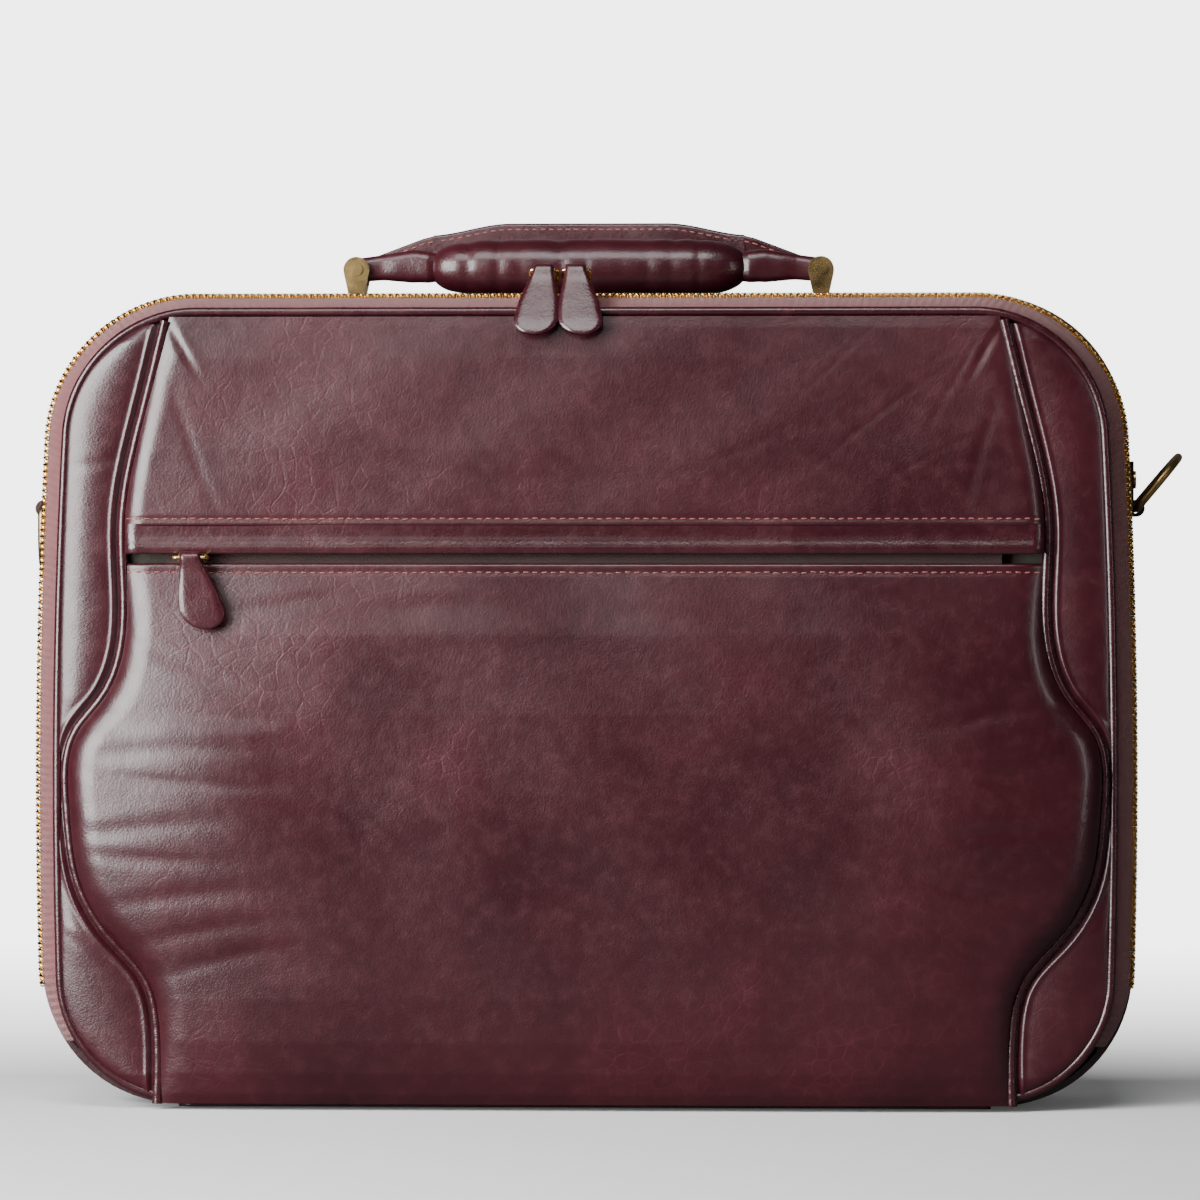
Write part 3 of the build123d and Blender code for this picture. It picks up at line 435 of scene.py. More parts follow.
# azimuth and elevation in degrees, the rest in millimetres; across is the width seen at the aim
view = dict(distance=2300.0, azimuth=2.4, elevation=0.6, aimX=5.6, aimY=-20.0, aimZ=193.0, across=457.0)
scene = bpy.context.scene
lens = bpy.data.cameras.new("camera")
camera = bpy.data.objects.new("camera", lens)
scene.collection.objects.link(camera)
az, el = math.radians(view["azimuth"]), math.radians(view["elevation"])
offset = np.array([math.sin(az) * math.cos(el), -math.cos(az) * math.cos(el), math.sin(el)]) * view["distance"]
camera.location = ((np.array([view["aimX"], view["aimY"], view["aimZ"]]) + offset) * mm).tolist()
camera.rotation_euler = (math.pi / 2 - el, 0, az)
lens.sensor_width = 36
lens.lens = 36 * view["distance"] / view["across"]
lens.clip_end = 50
lens.dof.use_dof = False
scene.camera = camera

floorMaterial, tree, shader, place = newMaterial("white_sweep")
# white sweep that glows towards the back and is pale to the camera, but throws little light on the case
shader.inputs["Roughness"].default_value = 0.9
shader.inputs["Emission Color"].default_value = (1, 1, 1, 1)
back = addNode(tree, "SeparateXYZ", {0: place}).outputs[1]
seen = addNode(tree, "LightPath").outputs["Is Camera Ray"]
glow = between(tree, back, 0.1, 0.9, 0.05, 4.0)
tree.links.new(doMath(tree, "MULTIPLY", glow, between(tree, seen, 0, 1, 0.03, 1)),
               shader.inputs["Emission Strength"])
tree.links.new(between(tree, seen, 0, 1, 0.12, 0.9), shader.inputs["Base Color"])
bow = np.linspace(0, math.pi / 2, 16)
line = np.vstack([[[-4000.0, 0.0]], np.column_stack([1500 + 900 * np.sin(bow), 900 - 900 * np.cos(bow)]),
                  [[2400.0, 5000.0]]])
xs = np.array([-6000.0, 6000.0])
sweep = np.stack([np.broadcast_to(xs, (len(line), 2)), np.repeat(line[:, :1], 2, 1),
                  np.repeat(line[:, 1:], 2, 1)], axis=-1)
makeSurface("studio_sweep", sweep - [0, 0, 0.3], floorMaterial)


def softBox(name, place, aim, size, power):   # an area light turned towards a point
    light = bpy.data.lights.new(name, "AREA")
    light.shape, light.size, light.size_y = "RECTANGLE", size[0], size[1]
    light.energy = power
    obj = bpy.data.objects.new(name, light)
    way = np.array(aim) - np.array(place)
    obj.location = place
    flat = math.hypot(way[0], way[1])
    obj.rotation_euler = (math.atan2(flat, -way[2]), 0, math.atan2(way[1], way[0]) - math.pi / 2)
    scene.collection.objects.link(obj)


# place, aim and size in metres, and power in watts
softBoxes = {"left_box": ((-0.85, -0.85, 0.4), (-0.08, 0, 0.17), (0.7, 1.0), 40),
             "top_box": ((-0.15, -0.9, 1.35), (0, 0, 0.25), (1.0, 0.6), 13),
             "front_fill": ((-0.5, -2.9, 1.1), (0, 0, 0.15), (0.7, 0.7), 3),
             "right_strip": ((1.2, -0.9, 0.4), (0, 0, 0.15), (0.10, 0.8), 1.6)}
for name, settings in softBoxes.items():
    softBox(name, *settings)
# the world is pale to the camera and dim as a light
world = bpy.data.worlds.new("studio")
scene.world = world
world.use_nodes = True
tree = world.node_tree
sky = tree.nodes["Background"]
sky.inputs[0].default_value = (0.9, 0.92, 1.0, 1)
tree.links.new(between(tree, addNode(tree, "LightPath").outputs["Is Camera Ray"], 0.0, 1.0, 0.035, 1.0),
               sky.inputs[1])
print("studio ready")

# front pocket: lower panel, flap, upper panel

lowerLook = dict(foot=2.2, top=207.0, roll=1.3, wall=12.0, shoulder=70.0, sideBulge=1.6, stitchZ=203.6,
                 stitchPitch=3.5)
creases = [   # centre x, centre z, angle, length, width, depth
    (-152, 150, -6, 60, 3.4, 0.45), (-158, 137, 3, 66, 3.8, 0.6), (-150, 124, -4, 70, 3.0, 0.5),
    (-154, 109, 5, 74, 4.0, 0.6), (-160, 95, -3, 54, 3.2, 0.5), (-148, 82, 6, 66, 3.8, 0.55),
    (-146, 68, 10, 50, 3.4, 0.5), (-138, 57, 14, 44, 3.2, 0.4), (-148, 168, -20, 40, 3.0, 0.6),
    (156, 150, 10, 40, 3.0, 0.5), (160, 128, -6, 44, 3.0, 0.6), (158, 106, 6, 40, 3.2, 0.6),
    (150, 82, -14, 40, 3.0, 0.6), (140, 64, -28, 38, 3.0, 0.5), (-60, 190, 3, 80, 5.0, 0.35),
    (40, 186, -4, 90, 6.0, 0.3), (110, 194, -8, 50, 4.0, 0.35), (-110, 192, 8, 46, 3.6, 0.4)]


# depth in front of y 0 of the lower panel: a long crown, full rounded walls at the sides,
# fuller low at both sides, turned under at the foot
def lowerDepth(x, z):
    crown = np.interp(z, [0, 6, 14, 26, 42, 66, 110, 150, 180, 200, 210],
                      [37.5, 41.2, 43.8, 46.0, 47.6, 48.7, 49.2, 47.6, 45.0, 42.2, 41.0])
    near = np.clip(edgeDistance(x, z) / lowerLook["wall"], 0, 1)
    wall = np.sqrt(np.clip(1 - (1 - near) ** 2, 0, 1))
    full = lowerLook["sideBulge"] * bell(np.abs(x) - 140, 40) * bell(z - 100, 56)
    easy = 1 - (1 - np.clip(edgeDistance(x, z) / lowerLook["shoulder"], 0, 1)) ** 2
    depth = 35.0 + (crown + full - 35.0) * (0.62 * wall + 0.38 * easy)
    for one in creases:
        depth = depth + crease(x, z, *one) * wall
    wave = 0.25 * np.sin(x / 23.0 + 1.3) * np.sin(z / 19.0 + 0.4) + 0.2 * np.sin(x / 11.0 + z / 17.0)
    depth = depth + wave * wall * rise(z, 5, 40)
    return depth - 0.4 * bell(z - lowerLook["stitchZ"], 0.8) * wall


# across: fractions from -1 to 1 packed towards both edges
def packedAcross(count):
    t = np.linspace(-1, 1, count)
    return np.sin(t * math.pi / 2) * 0.72 + t * 0.28


# surface whose rows run along x at heights z, then roll back over a half-round edge
def rolledPanel(name, depthOf, zs, edgeZ, roll, inset, upward, material, cols=300):
    u = packedAcross(cols)[None, :]
    x = u * (pocketHalf(zs) - inset)[:, None]
    flat = np.stack([x, -depthOf(x, zs[:, None] + 0 * x), zs[:, None] + 0 * x], axis=-1)
    turn = np.linspace(0, math.pi, 12)[1:, None]
    sign = 1 if upward else -1
    edgeX = u * (pocketHalf(edgeZ) - inset) + 0 * turn
    edgeY = -depthOf(edgeX[:1], edgeZ + 0 * edgeX[:1])
    rolled = np.stack([edgeX, edgeY + roll * (1 - np.cos(turn)),
                       edgeZ + sign * roll * np.sin(turn) + 0 * u], axis=-1)
    tuck = rolled[-1:] + [0, 0, -sign * 4.0]
    grid = np.vstack([flat, rolled, tuck]) if upward else np.vstack([flat[::-1], rolled, tuck])
    return makeSurface(name, grid, material, flip=not upward)


lowerZ = np.linspace(lowerLook["foot"], lowerLook["top"] - lowerLook["roll"], 240)
lower = rolledPanel("front_pocket_panel", lowerDepth, lowerZ, lowerZ[-1], lowerLook["roll"], 1.2, True, leather)
finish(lower, "lid", "leather_oxblood", "pocket_lower_panel")

upperLook = dict(foldZ=221.0, topZ=300.4, roll=1.2, stitchZ=223.9, stitchPitch=3.5)
upperCreases = [(110, 262, 38, 56, 1.4, 0.12), (128, 246, 28, 40, 1.2, 0.10), (92, 280, 44, 36, 1.2, 0.10),
                (140, 276, 60, 36, 1.6, 0.14), (60, 250, 20, 56, 2.0, 0.08), (-120, 270, -30, 46, 2.0, 0.08),
                (-148, 250, -70, 46, 2.6, 0.3), (150, 250, 74, 46, 2.6, 0.3), (-40, 240, -6, 80, 3.0, 0.1),
                (-152, 288, -60, 20, 1.8, 0.7), (152, 288, 60, 20, 1.8, 0.7)]


# depth of the upper panel: leans out from the top to the fold, with soft sides and a shallow crown
def upperDepth(x, z):
    lean = np.interp(z, [205, 221, 250, 285, 296, 303], [42.2, 42.2, 40.8, 38.4, 37.2, 35.6])
    near = np.clip(edgeDistance(x, z) / 9.0, 0, 1)
    wall = np.sqrt(np.clip(1 - (1 - near) ** 2, 0, 1))
    depth = 35.4 + (lean - 35.4) * wall
    for one in upperCreases:
        depth = depth + crease(x, z, *one)
    depth = depth + 0.18 * np.sin(x / 31.0 + 0.6) * np.sin(z / 15.0) + 0.12 * np.sin(x / 13.0 - z / 9.0)
    return depth - 0.4 * bell(z - upperLook["stitchZ"], 0.8) * wall


upperZ = np.linspace(upperLook["foldZ"] + upperLook["roll"], upperLook["topZ"], 120)
upper = rolledPanel("front_upper_panel", upperDepth, upperZ, upperZ[0], upperLook["roll"], 1.2, False, leather)
finish(upper, "lid", "leather_oxblood", "pocket_upper_panel")

flapLook = dict(top=222.0, lip=210.5, roll=1.0)


# depth of the flap under the fold: set back a little at the top, and a fuller rounded lip
def flapDepth(x, z):
    near = np.clip(edgeDistance(x, z) / 6.0, 0, 1)
    wall = np.sqrt(np.clip(1 - (1 - near) ** 2, 0, 1))
    swell = 1.0 * bell(z - (flapLook["lip"] + 2.4), 2.6)
    return 36.5 + (41.7 + swell - 36.5 + 0.12 * np.sin(x / 17.0)) * wall


flapZ = np.linspace(flapLook["lip"] + flapLook["roll"], flapLook["top"], 30)
flap = rolledPanel("zip_flap", flapDepth, flapZ, flapZ[0], flapLook["roll"], 1.4, False, pipingLeather)
finish(flap, "lid", "leather_oxblood", "pocket_flap")


# a straight row of stitches on a depth function, tipped a little each way
def stitchRow(name, depthOf, z, halfLength, pitch):
    xs = np.arange(-halfLength, halfLength, pitch)
    zs = z + rng.normal(0, 0.12, len(xs))
    places = np.column_stack([xs, -depthOf(xs, zs) - 0.12, zs])
    tip = rng.normal(0, 0.05, len(xs))
    along = np.column_stack([np.cos(tip), np.zeros_like(tip), np.sin(tip)])
    outward = np.tile([0.0, -1.0, 0.0], (len(xs), 1))
    shape, faces = stitchShape(2.4, 0.62)
    return makeCopies(name, shape, faces, places, along, np.cross(outward, along), outward, thread)


fold = stitchRow("fold_stitches", upperDepth, upperLook["stitchZ"], 172.0, upperLook["stitchPitch"])
mouth = stitchRow("mouth_stitches", lowerDepth, lowerLook["stitchZ"], 172.0, lowerLook["stitchPitch"])
for obj in (fold, mouth):
    finish(obj, "lid", "leather_oxblood")
print("front panels ready")

# side panels between the pocket's piping and the edge piping

sideCreases = ((90, 12), (104, -6), (60, 30), (130, -14), (215, 20), (245, -12))   # height, angle
innerLoop = outline(8 + 2.6, 6 + 2.6, 2 + 2.6, 45.4, 44.4, 1200)
rightSide = innerLoop[innerLoop[:, 0] > 0]
rightSide = rightSide[np.argsort(rightSide[:, 1])]


# side panel from the pocket's edge to the edge piping: a low root-of-sine swell across, less a stitched
# groove and plus a ridge beside the pocket's cord
def sidePanel(name, sign, node):
    zs = np.concatenate([np.linspace(6.4, 40, 60), np.linspace(40, 262, 150)[1:],
                         np.linspace(262, 297.5, 50)[1:]])
    keep = rightSide[np.abs(rightSide[:, 1] - 155) < 148]
    outer = np.interp(zs, keep[:, 1], keep[:, 0])
    inner = pocketHalf(zs) + 0.4
    outer = np.maximum(outer, inner + 0.2)
    u = (1 - np.cos(np.linspace(0, math.pi, 60))) / 2
    x = inner[:, None] + (outer - inner)[:, None] * u[None, :]
    z = zs[:, None] + 0 * x
    gap = -edgeDistance(x, z)
    span = (outer - inner)[:, None]
    depth = 34.6 + np.minimum(2.6, span * 0.16) * np.sqrt(np.clip(np.sin(u * math.pi), 0, 1))[None, :]
    depth = depth + 0.55 * bell(gap - 4.3, 0.9) - 0.5 * bell(gap - 2.3, 0.8)
    if sign < 0:
        for cz, angle in sideCreases:
            depth = depth + crease(x, z, 186, cz, angle, 26, 2.2, 0.35)
    grid = np.stack([sign * x, -depth, z], axis=-1)
    return finish(makeSurface(name, grid, leather, flip=sign < 0), "lid", "leather_oxblood", node)


sidePanel("side_panel_leather_left", -1, "side_panel_left")
sidePanel("side_panel_leather_right", 1, "side_panel_right")


# piping: leather rolled round a cord, slightly lumpy: radius * (1 + small sums of sines)
def lumps(count, seed):
    t = np.linspace(0, 1, count)
    local = np.random.default_rng(seed)
    total = np.zeros(count)
    for k in (19, 47, 83):
        total += local.uniform(0.3, 1) * np.sin(2 * math.pi * (k * t + local.uniform()))
    return total


pipingLook = dict(edgeRadius=1.8, edgeY=-33.8, pocketRadius=1.9, pocketY=-36.0, pocketTop=299.6)
frontCord = outline(8 + 1.75, 6 + 1.75, 2 + 1.75, 46.25, 45.25, 1200)
piping = makeTube("edge_piping", frontCord, pipingLook["edgeY"],
                  pipingLook["edgeRadius"] * (1 + 0.012 * lumps(1200, 3)), pipingLeather, True)
finish(piping, "lid", "leather_oxblood", "front_piping")
for sign, name in ((-1, "left"), (1, "right")):
    run = pocketEdge[pocketEdge[:, 1] < pipingLook["pocketTop"]] * [sign, 1]
    cord = makeTube(f"pocket_cord_{name}", run, pipingLook["pocketY"],
                    pipingLook["pocketRadius"] * (1 + 0.015 * lumps(len(run), 5 + sign)), pipingLeather, False)
    finish(cord, "lid", "leather_oxblood", f"pocket_piping_{name}")
print("side panels and piping ready")

# zip: woven tape, brass teeth

# lowest tooth, lowest tape, tooth pitch, and the depth of each half's teeth
zipLook = dict(end=45.9, tapeEnd=24.0, pitch=2.5, frontY=-24.4, rearY=-21.6, tapeThick=0.7)


# tape as a straight blend between two closed outlines plus half a sine of sag, open below the tape's end;
# uv is along and across in millimetres
def tapeBand(name, loopA, yA, loopB, yB, body, node, sag, flip):
    count, across = len(loopA), 9
    lowA = np.where(loopA[:, 1] > zipLook["tapeEnd"])[0]
    a, b = loopA[lowA], loopB[lowA]
    t = np.linspace(0, 1, across)[None, :, None]
    flat = a[:, None] * (1 - t) + b[:, None] * t
    _, out = loopWays(loopA)
    bulge = sag * np.sin(np.linspace(0, math.pi, across))[None, :, None] * out[lowA][:, None]
    flat = flat + bulge
    y = (yA + (yB - yA) * t[..., 0]) + 0 * flat[..., 0]
    grid = np.stack([flat[..., 0], y, flat[..., 1]], axis=-1)
    steps = np.r_[0, np.cumsum(np.linalg.norm(np.diff(a, axis=0), axis=1))]
    width = np.linalg.norm([yA - yB, 5.5])
    uv = np.stack([steps[:, None] + 0 * t[..., 0], width * t[..., 0] + 0 * steps[:, None]], axis=-1)
    obj = makeSurface(name, grid, tape, uv=uv, flip=flip)
    solid = obj.modifiers.new("thickness", "SOLIDIFY")
    solid.thickness, solid.offset = zipLook["tapeThick"] * mm, -1
    return finish(obj, body, "zip_tape", node)


toothLine = outline(1.9, 1.9, 1.9, 53.1, 50.1, 1600)
frontEdge = outline(8.6, 6.6, 2.6, 47.4, 46.4, 1600)
start = int(np.argmin(np.abs(toothLine[:, 0]) + toothLine[:, 1]))
toothLine, frontEdge = np.roll(toothLine, -start, axis=0), np.roll(frontEdge, -start, axis=0)
rearEdge = np.roll(outline(1.3, 1.3, 1.3, 53.7, 50.7, 1600), -start, axis=0)
tapeBand("front_zip_tape", toothLine, -25.2, frontEdge, -33.2, "lid", "zip_tape_front", 0.5, False)
tapeBand("rear_zip_tape", toothLine, -20.8, rearEdge, -13.8, "case", "zip_tape_rear", 0.3, True)


# one tooth, along x, across y, up z: a leg that grips the tape and a rounded, dimpled head
def toothShape():
    ys = np.array([-2.2, -2.0, -0.4, 0.6, 1.5, 1.9, 2.0])
    hx = np.array([0.30, 0.52, 0.56, 0.50, 0.72, 0.56, 0.2])
    hz = np.array([1.10, 1.45, 1.60, 1.35, 1.55, 1.25, 0.5])
    turn = np.linspace(0, 2 * math.pi, 12, endpoint=False) + math.pi / 12
    cx = np.sign(np.cos(turn)) * np.abs(np.cos(turn)) ** 0.55
    cz = np.sign(np.sin(turn)) * np.abs(np.sin(turn)) ** 0.55
    grid = np.stack([hx[:, None] * cx, ys[:, None] + 0 * cx, hz[:, None] * cz], axis=-1)
    faces = gridFaces(len(ys), 12, closeCols=True)
    return grid.reshape(-1, 3), faces


# teeth along the outline at the zip's pitch, half a pitch apart on the two tapes
def toothRow(name, sign, centreY, shift, body, node):
    line = outline(1.75, 1.75, 1.75, 53.2, 50.2, 6000)
    steps = np.r_[0, np.cumsum(np.linalg.norm(np.diff(line, axis=0), axis=1))]
    along, out = loopWays(line)
    index = np.searchsorted(steps, np.arange(shift, steps[-1], zipLook["pitch"]))
    index = index[index < 6000]
    index = index[line[index, 1] > zipLook["end"]]
    places = np.column_stack([line[index, 0], np.full(len(index), centreY), line[index, 1]])
    ways = np.column_stack([along[index, 0], np.zeros(len(index)), along[index, 1]])
    up = np.column_stack([out[index, 0], np.zeros(len(index)), out[index, 1]])
    over = np.tile([0.0, float(sign), 0.0], (len(index), 1))
    shape, faces = toothShape()
    return finish(makeCopies(name, shape, faces, places, ways, over, up, brass), body, "brass", node)


toothRow("front_zip_teeth", 1, zipLook["frontY"], 0.0, "lid", "zip_teeth_front")
toothRow("rear_zip_teeth", -1, zipLook["rearY"], zipLook["pitch"] / 2, "case", "zip_teeth_rear")
print("zip ready")

# carrying handle: padded grip and its sewn top edge

gripLook = dict(half=61.5, radius=11.3, y=12.0, z=321.0, wrinkle=0.42)


def gripRadius(x):   # radius * sqrt(1 - t^9), which rounds off the ends, drawn in a little by t^2
    t = np.clip(np.abs(x) / gripLook["half"], 0, 1)
    return gripLook["radius"] * np.sqrt(np.clip(1 - t ** 9, 0, 1)) * (1 - 0.06 * t ** 2)


u = np.sin(np.linspace(-math.pi / 2, math.pi / 2, 260))
turn = np.linspace(0, 2 * math.pi, 96, endpoint=False)
x = (u * gripLook["half"])[:, None] + 0 * turn
fold = np.zeros_like(x)
for k in range(26):
    at, wide, lean = rng.uniform(-56, 56), rng.uniform(1.4, 3.4), rng.uniform(-2.5, 2.5)
    share = 0.35 + 0.65 * np.sin(turn / 2 + k) ** 2
    fold += -rng.uniform(0.3, 1.0) * bell(x - at - lean * np.cos(turn), wide) * share
radius = gripRadius(x) + gripLook["wrinkle"] * (fold + 0.5) * (gripRadius(x) / gripLook["radius"])
grip = np.stack([x, gripLook["y"] + radius * np.cos(turn), gripLook["z"] + radius * np.sin(turn) * 0.985],
                axis=-1)
gripPiece = makeSurface("padded_grip", grip, leather, closeCols=True, flip=True)
finish(gripPiece, "grip", "leather_oxblood", "grip_cover")

weltLook = dict(half=60.0, thick=3.4, pitch=3.2)


def weltTop(x):   # highest over the middle, falling in a soft curve to the ends
    return 338.0 - 4.6 * rise(np.abs(x), 30, 62)


xs = np.linspace(-weltLook["half"], weltLook["half"], 160)
lap = np.array([[-1.0, -7.0], [-1.0, -1.0], [-0.86, -0.3], [-0.5, 0.0], [-0.16, -0.15], [0.0, -0.55],
                [0.16, -0.15], [0.5, 0.0], [0.86, -0.3], [1.0, -1.0], [1.0, -7.0]])
top = weltTop(xs)[:, None]
flare = np.where(lap[:, 1] < -5, 1.5, 1.0)
ySide = gripLook["y"] + lap[:, 0] * weltLook["thick"] / 2 * flare + 0.15 * np.sin(xs / 7.0)[:, None]
welt = np.stack([xs[:, None] + 0 * ySide, ySide, top + lap[:, 1]], axis=-1)
finish(makeSurface("grip_top_edge", welt, pipingLeather, flip=True), "grip", "leather_oxblood", "grip_welt")
for side, name in ((-1, "front"), (1, "back")):
    xs = np.arange(-56, 56, weltLook["pitch"])
    slope = np.gradient(weltTop(xs), xs)
    along = np.column_stack([np.ones_like(xs), np.zeros_like(xs), slope])
    along /= np.linalg.norm(along, axis=1)[:, None]
    outward = np.tile([0.0, float(side), 0.0], (len(xs), 1))
    places = np.column_stack([xs, np.full_like(xs, gripLook["y"] + side * 1.8) + 0.15 * np.sin(xs / 7.0),
                              weltTop(xs) - 2.4])
    shape, faces = stitchShape(2.3, 0.6)
    finish(makeCopies(f"grip_stitches_{name}", shape, faces, places, along, np.cross(outward, along), outward,
                      thread), "grip", "leather_oxblood")
print("handle ready")

# neck from the post's pin to the grip: a flattened round section that thickens inwards,
# half height and half thickness by place along x, with the sewn edge standing on top
neckLook = dict(pinX=89.5, pinZ=320.0, endX=57.0)
for sign, name in ((-1, "left"), (1, "right")):
    t = np.linspace(0, 1, 60)
    x = neckLook["pinX"] + 4.6 * np.cos(np.clip(t / 0.12, 0, 1) * math.pi / 2)
    x = np.where(t < 0.12, x, neckLook["pinX"] - (neckLook["pinX"] - neckLook["endX"]) * (t - 0.12) / 0.88)
    cap = np.sqrt(np.clip(1 - ((x - neckLook["pinX"]) / 4.7).clip(0, 1) ** 2, 0.01, 1))
    centre = np.interp(x, [57, 66, 78, 89.5, 95], [321, 321.6, 321.2, 320, 320])
    tall = np.interp(x, [57, 62, 68, 80, 89.5], [5.2, 6.2, 6.4, 4.9, 4.6]) * cap
    wide = np.interp(x, [57, 62, 68, 80, 95], [4.2, 5.4, 5.2, 4.0, 3.9]) * np.maximum(cap, 0.5)
    turn = np.linspace(0, 2 * math.pi, 40, endpoint=False)
    cy = np.sign(np.cos(turn)) * np.abs(np.cos(turn)) ** 0.7
    cz = np.sign(np.sin(turn)) * np.abs(np.sin(turn)) ** 0.8
    pleat = 1 + 0.03 * np.sin(x / 1.9)[:, None] * (0.5 + 0.5 * np.sin(turn * 2 + 1))
    grid = np.stack([sign * x[:, None] + 0 * cy, gripLook["y"] + wide[:, None] * cy * pleat,
                     centre[:, None] + tall[:, None] * cz * pleat], axis=-1)
    neck = makeSurface(f"handle_neck_{name}", grid, leather, closeCols=True, flip=sign > 0)
    finish(neck, f"tab_{name}", "leather_oxblood", f"handle_tab_{name}")
    fx = np.linspace(59.0, 85.5, 50)
    ridge = np.interp(fx, [59, 64, 72, 80, 85.5], [333.4, 332.2, 329.2, 326.2, 324.2])
    ySide = gripLook["y"] + lap[:, 0] * 1.5 + 0 * fx[:, None]
    fin = np.stack([sign * fx[:, None] + 0 * ySide, ySide, ridge[:, None] + lap[:, 1] * 0.9], axis=-1)
    finish(makeSurface(f"neck_edge_{name}", fin, pipingLeather, flip=sign > 0), f"tab_{name}",
           "leather_oxblood")
    sx = np.arange(61.0, 84.0, weltLook["pitch"])
    slope = np.interp(sx, fx, np.gradient(ridge, fx)) * sign
    along = np.column_stack([np.ones_like(sx), np.zeros_like(sx), slope])
    along /= np.linalg.norm(along, axis=1)[:, None]
    outward = np.tile([0.0, -1.0, 0.0], (len(sx), 1))
    places = np.column_stack([sign * sx, np.full_like(sx, gripLook["y"] - 1.62),
                              np.interp(sx, fx, ridge) - 2.2])
    shape, faces = stitchShape(2.3, 0.6)
    finish(makeCopies(f"neck_stitches_{name}", shape, faces, places, along, np.cross(outward, along), outward,
                      thread), f"tab_{name}", "leather_oxblood")


# leather pulls: two plies folded over the ring, drop shaped


# closed skin round a drop: half width by length, and a rounded flat section |cos|^0.4, |sin|^0.4
def leatherPull(name, origin, lean, foot, length, body, node):
    s = np.concatenate([np.linspace(-2.4, 2, 12), np.linspace(2, length - 7, 24)[1:],
                        length - 7 + 7 * np.sin(np.linspace(0, math.pi / 2, 22))[1:]])
    widths = np.interp(s, [-2.4, 1.5, 6, 14, length - 7], [3.9, 4.1, 5.4, 7.6, 8.5])
    cap = np.sqrt(np.clip(1 - np.clip((s - (length - 7)) / 7, 0, 1) ** 2, 0, 1))
    eye = np.sqrt(np.clip(1 - np.clip((-s) / 2.4, 0, 1) ** 2, 0.02, 1))
    widths = widths * np.maximum(cap, 0.02)
    thick = (1.5 + 0.85 * bell(s, 3.2)) * eye * np.maximum(np.sqrt(cap), 0.05)
    turn = np.linspace(0, 2 * math.pi, 40, endpoint=False)
    cx = np.sign(np.cos(turn)) * np.abs(np.cos(turn)) ** 0.4
    cy = np.sign(np.sin(turn)) * np.abs(np.sin(turn)) ** 0.4
    x = (foot * np.clip(s / length, 0, 1))[:, None] + widths[:, None] * cx
    y = thick[:, None] * cy * (1 - 0.18 * bell(np.abs(cx) - 0.95, 0.12))
    down = s[:, None] + 0 * cx
    c, q = math.cos(math.radians(lean)), math.sin(math.radians(lean))
    grid = np.stack([origin[0] + x, origin[1] + y * c - down * q, origin[2] - y * q - down * c], axis=-1)
    obj = makeSurface(name, grid, pipingLeather, closeCols=True)
    return finish(obj, body, "leather_oxblood", node)


# each ring's length and rise above level, and the pulls' lean and lengths
pullLook = dict(ring=7.0, rise=40.0, lean=30.0, mainLength=29.0, pocketLength=27.0)
ringRise = math.radians(pullLook["rise"])
for x, name, foot in ((-15.4, "left", -3.0), (-3.2, "right", 3.0)):
    eye = (x, -24.0 - pullLook["ring"] * math.cos(ringRise), 313.8 + pullLook["ring"] * math.sin(ringRise))
    leatherPull(f"leather_pull_{name}", eye, pullLook["lean"], foot, pullLook["mainLength"],
                f"main_pull_{name}_body", f"main_pull_{name}")
leatherPull("leather_pull_pocket", (-148, -48.3, 209.2), 0, 6.0, pullLook["pocketLength"], "pocket_pull_body",
            "pocket_pull")

for name in ("main_slider_left", "main_slider_right", "pocket_slider", "handle_post_left", "handle_post_right",
             "strap_tab_left", "strap_tab_right", "strap_tab_rivets"):
    bevel = nodes[name].modifiers.new("soft_edges", "BEVEL")
    bevel.width, bevel.segments, bevel.limit_method = 0.5 * mm, 3, "ANGLE"
print("pulls ready")

# inside: quilted pads and the gathered organiser pocket

padLook = dict(channel=38.0, channelWidth=2.2, channelDepth=0.34, rows=90, cols=180)


# half width of a convex CAD piece at each height: the widest straight line between two of its outline points
def halfWidths(node, heights):
    points = np.array([(nodes[node].matrix_world @ v.co) for v in nodes[node].data.vertices]) / mm
    points = np.unique(np.round(points[points[:, 0] > 1][:, [0, 2]], 1), axis=0)
    x, z = points[:, 0], points[:, 1]
    span = np.where(np.abs(z[None] - z[:, None]) < 1e-6, np.nan, z[None] - z[:, None])
    share = (heights[:, None, None] - z[:, None]) / span
    width = np.where((share >= 0) & (share <= 1), x[:, None] + share * (x[None] - x[:, None]), 0)
    return width.max(axis=(1, 2))


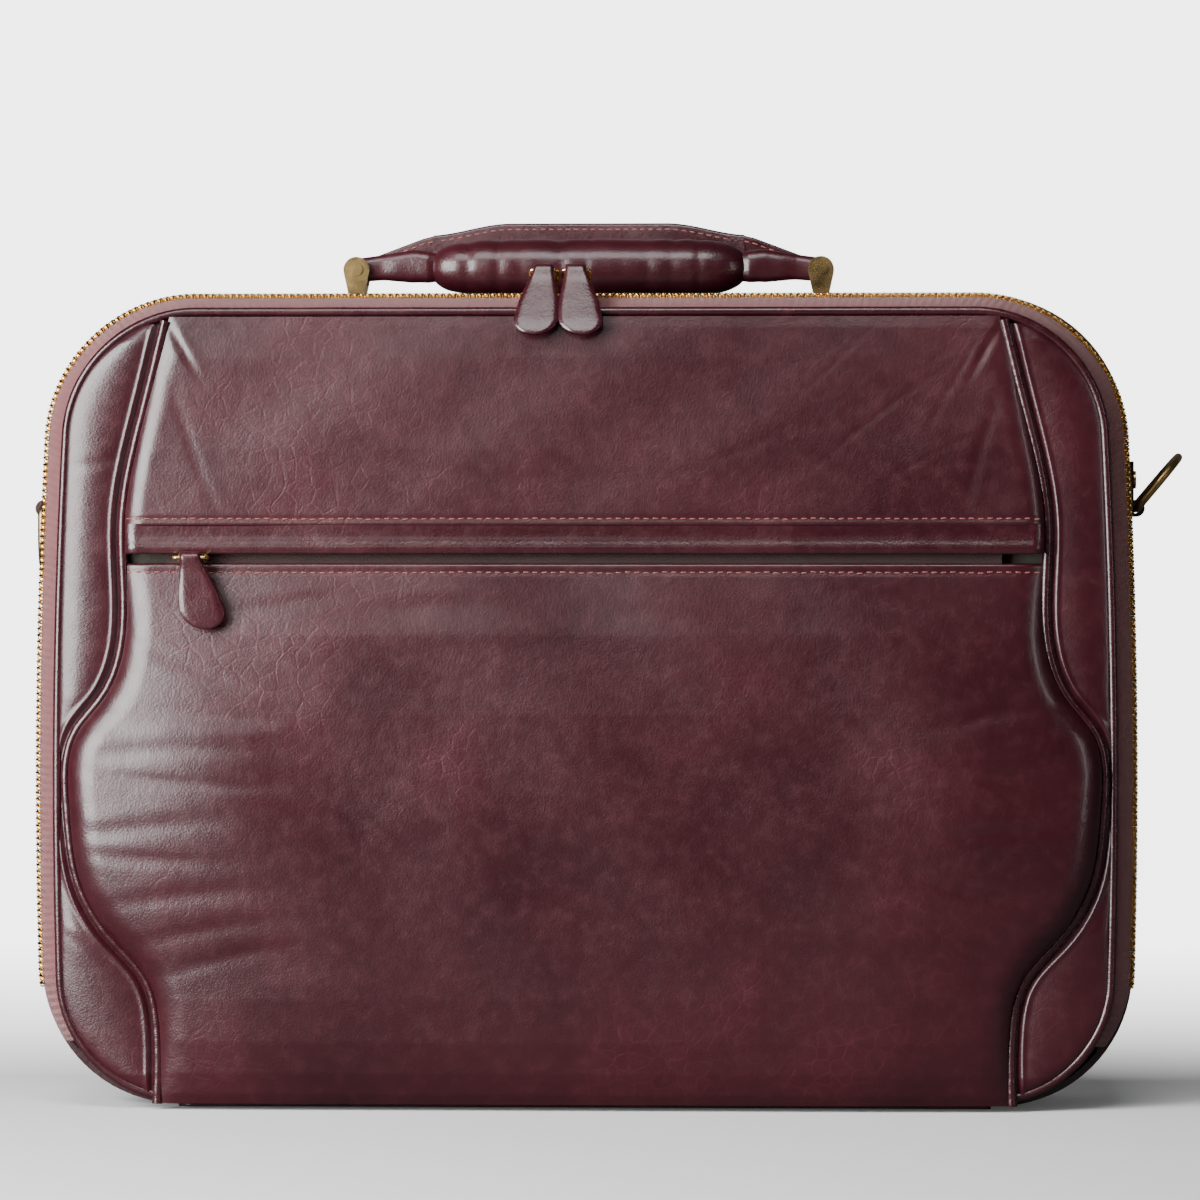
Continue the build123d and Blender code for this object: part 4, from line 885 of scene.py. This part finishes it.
# closed pad: thickness is a quarter circle in from the edge, less a bell at each sewn channel
def quiltedPad(name, node, body, back, front, low, high, material):
    swing = (1 - np.cos(np.linspace(0, math.pi, padLook["rows"]))) / 2
    heights = low + 0.3 + (high - low - 0.6) * swing
    wide = halfWidths(node, np.clip(heights, low + 0.4, high - 0.4))
    across = np.sin(np.linspace(-math.pi / 2, math.pi / 2, padLook["cols"]))
    x = wide[:, None] * across
    half, middle = (back - front) / 2, (back + front) / 2
    ends = np.minimum(heights - heights[0], heights[-1] - heights)[:, None]
    edge = np.minimum(wide[:, None] - np.abs(x), ends)
    near = 1 - np.clip(edge / (1.3 * half), 0, 1)
    thick = half * np.sqrt(np.clip(1 - near ** 2, 0, 1))
    channel = padLook["channel"]
    sewn = (x + 1000 * channel + channel / 2) % channel - channel / 2
    thick = thick * (1 - padLook["channelDepth"] * bell(sewn, padLook["channelWidth"]))
    z = heights[:, None] + 0 * x
    loop = [np.concatenate([a, b[:, ::-1]], axis=1)
            for a, b in ((x, x), (middle - thick, middle + thick), (z, z))]
    obj = makeSurface(name, np.stack(loop, axis=-1), material, closeCols=True)
    work = bmesh.new()
    work.from_mesh(obj.data)
    bmesh.ops.remove_doubles(work, verts=work.verts, dist=0.00002)
    bmesh.ops.recalc_face_normals(work, faces=work.faces)
    work.to_mesh(obj.data)
    work.free()
    return finish(obj, body, "foam_padding", node)


quiltedPad("quilted_back_pad", "laptop_padding", "case", 33.4, 27.4, 6.5, 302.7, padding)
quiltedPad("quilted_divider", "laptop_divider", "case", 6.0, 0.0, 3.5, 235.6, padding)

# organiser pocket: stands off the lining by a quarter circle in from its edges, and its mouth is gathered
# by a sine along the hem that dies away downwards
organiserLook = dict(half=147.0, foot=34.0, mouth=163.0, corner=8.0, backY=-29.4, fullness=5.0, gather=0.12)
x = np.linspace(-organiserLook["half"], organiserLook["half"], 260)[None, :] + np.zeros((70, 1))
z = np.linspace(organiserLook["foot"], organiserLook["mouth"], 70)[:, None] + 0 * x
inset = np.minimum(organiserLook["half"] - np.abs(x), z - organiserLook["foot"])
edge = 1 - np.clip(inset / organiserLook["corner"], 0, 1)
gather = 0.5 * (1 + np.sin(x / 2.4)) * np.exp(-(organiserLook["mouth"] - z) / 14)
fullness = organiserLook["fullness"] * np.sqrt(np.clip(1 - edge ** 2, 0, 1))
y = organiserLook["backY"] + fullness * (1 - organiserLook["gather"] * gather)
pocket = makeSurface("gathered_organiser", np.stack([x, y, z], axis=-1), lining)
wall = pocket.modifiers.new("cloth", "SOLIDIFY")
wall.thickness, wall.offset = 1.0 * mm, 0
finish(pocket, "lid", "lining_fabric", "organiser_pocket")
hem = makeTube("organiser_hem", np.column_stack([x[-1, 2:-2], z[-1, 2:-2]]), -25.2, 0.8, lining, False, 12)
finish(hem, "lid", "lining_fabric")
print("inside ready")

# band under the base that joins the lid to the case, dished a little across where it opens

bandLook = dict(half=154.0, backY=-13.4, frontY=-32.6, middleY=-24.0, lift=1.3, thick=1.2)
xs = np.linspace(-bandLook["half"], bandLook["half"], 60)
ys = np.linspace(bandLook["backY"], bandLook["frontY"], 40)
dish = bandLook["lift"] + 0.8 * ((ys - bandLook["middleY"]) / 9)[:, None] ** 2   # a shallow parabola
grid = np.stack([xs[None, :] + 0 * dish, ys[:, None] + 0 * xs[None, :], dish + 0 * xs[None, :]], axis=-1)
band = makeSurface("base_band", grid, gussetLeather)
solid = band.modifiers.new("thickness", "SOLIDIFY")
solid.thickness, solid.offset = bandLook["thick"] * mm, 1
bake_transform(band)
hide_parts("hinge_band", "lid_hinge_strip")
print("base band ready")
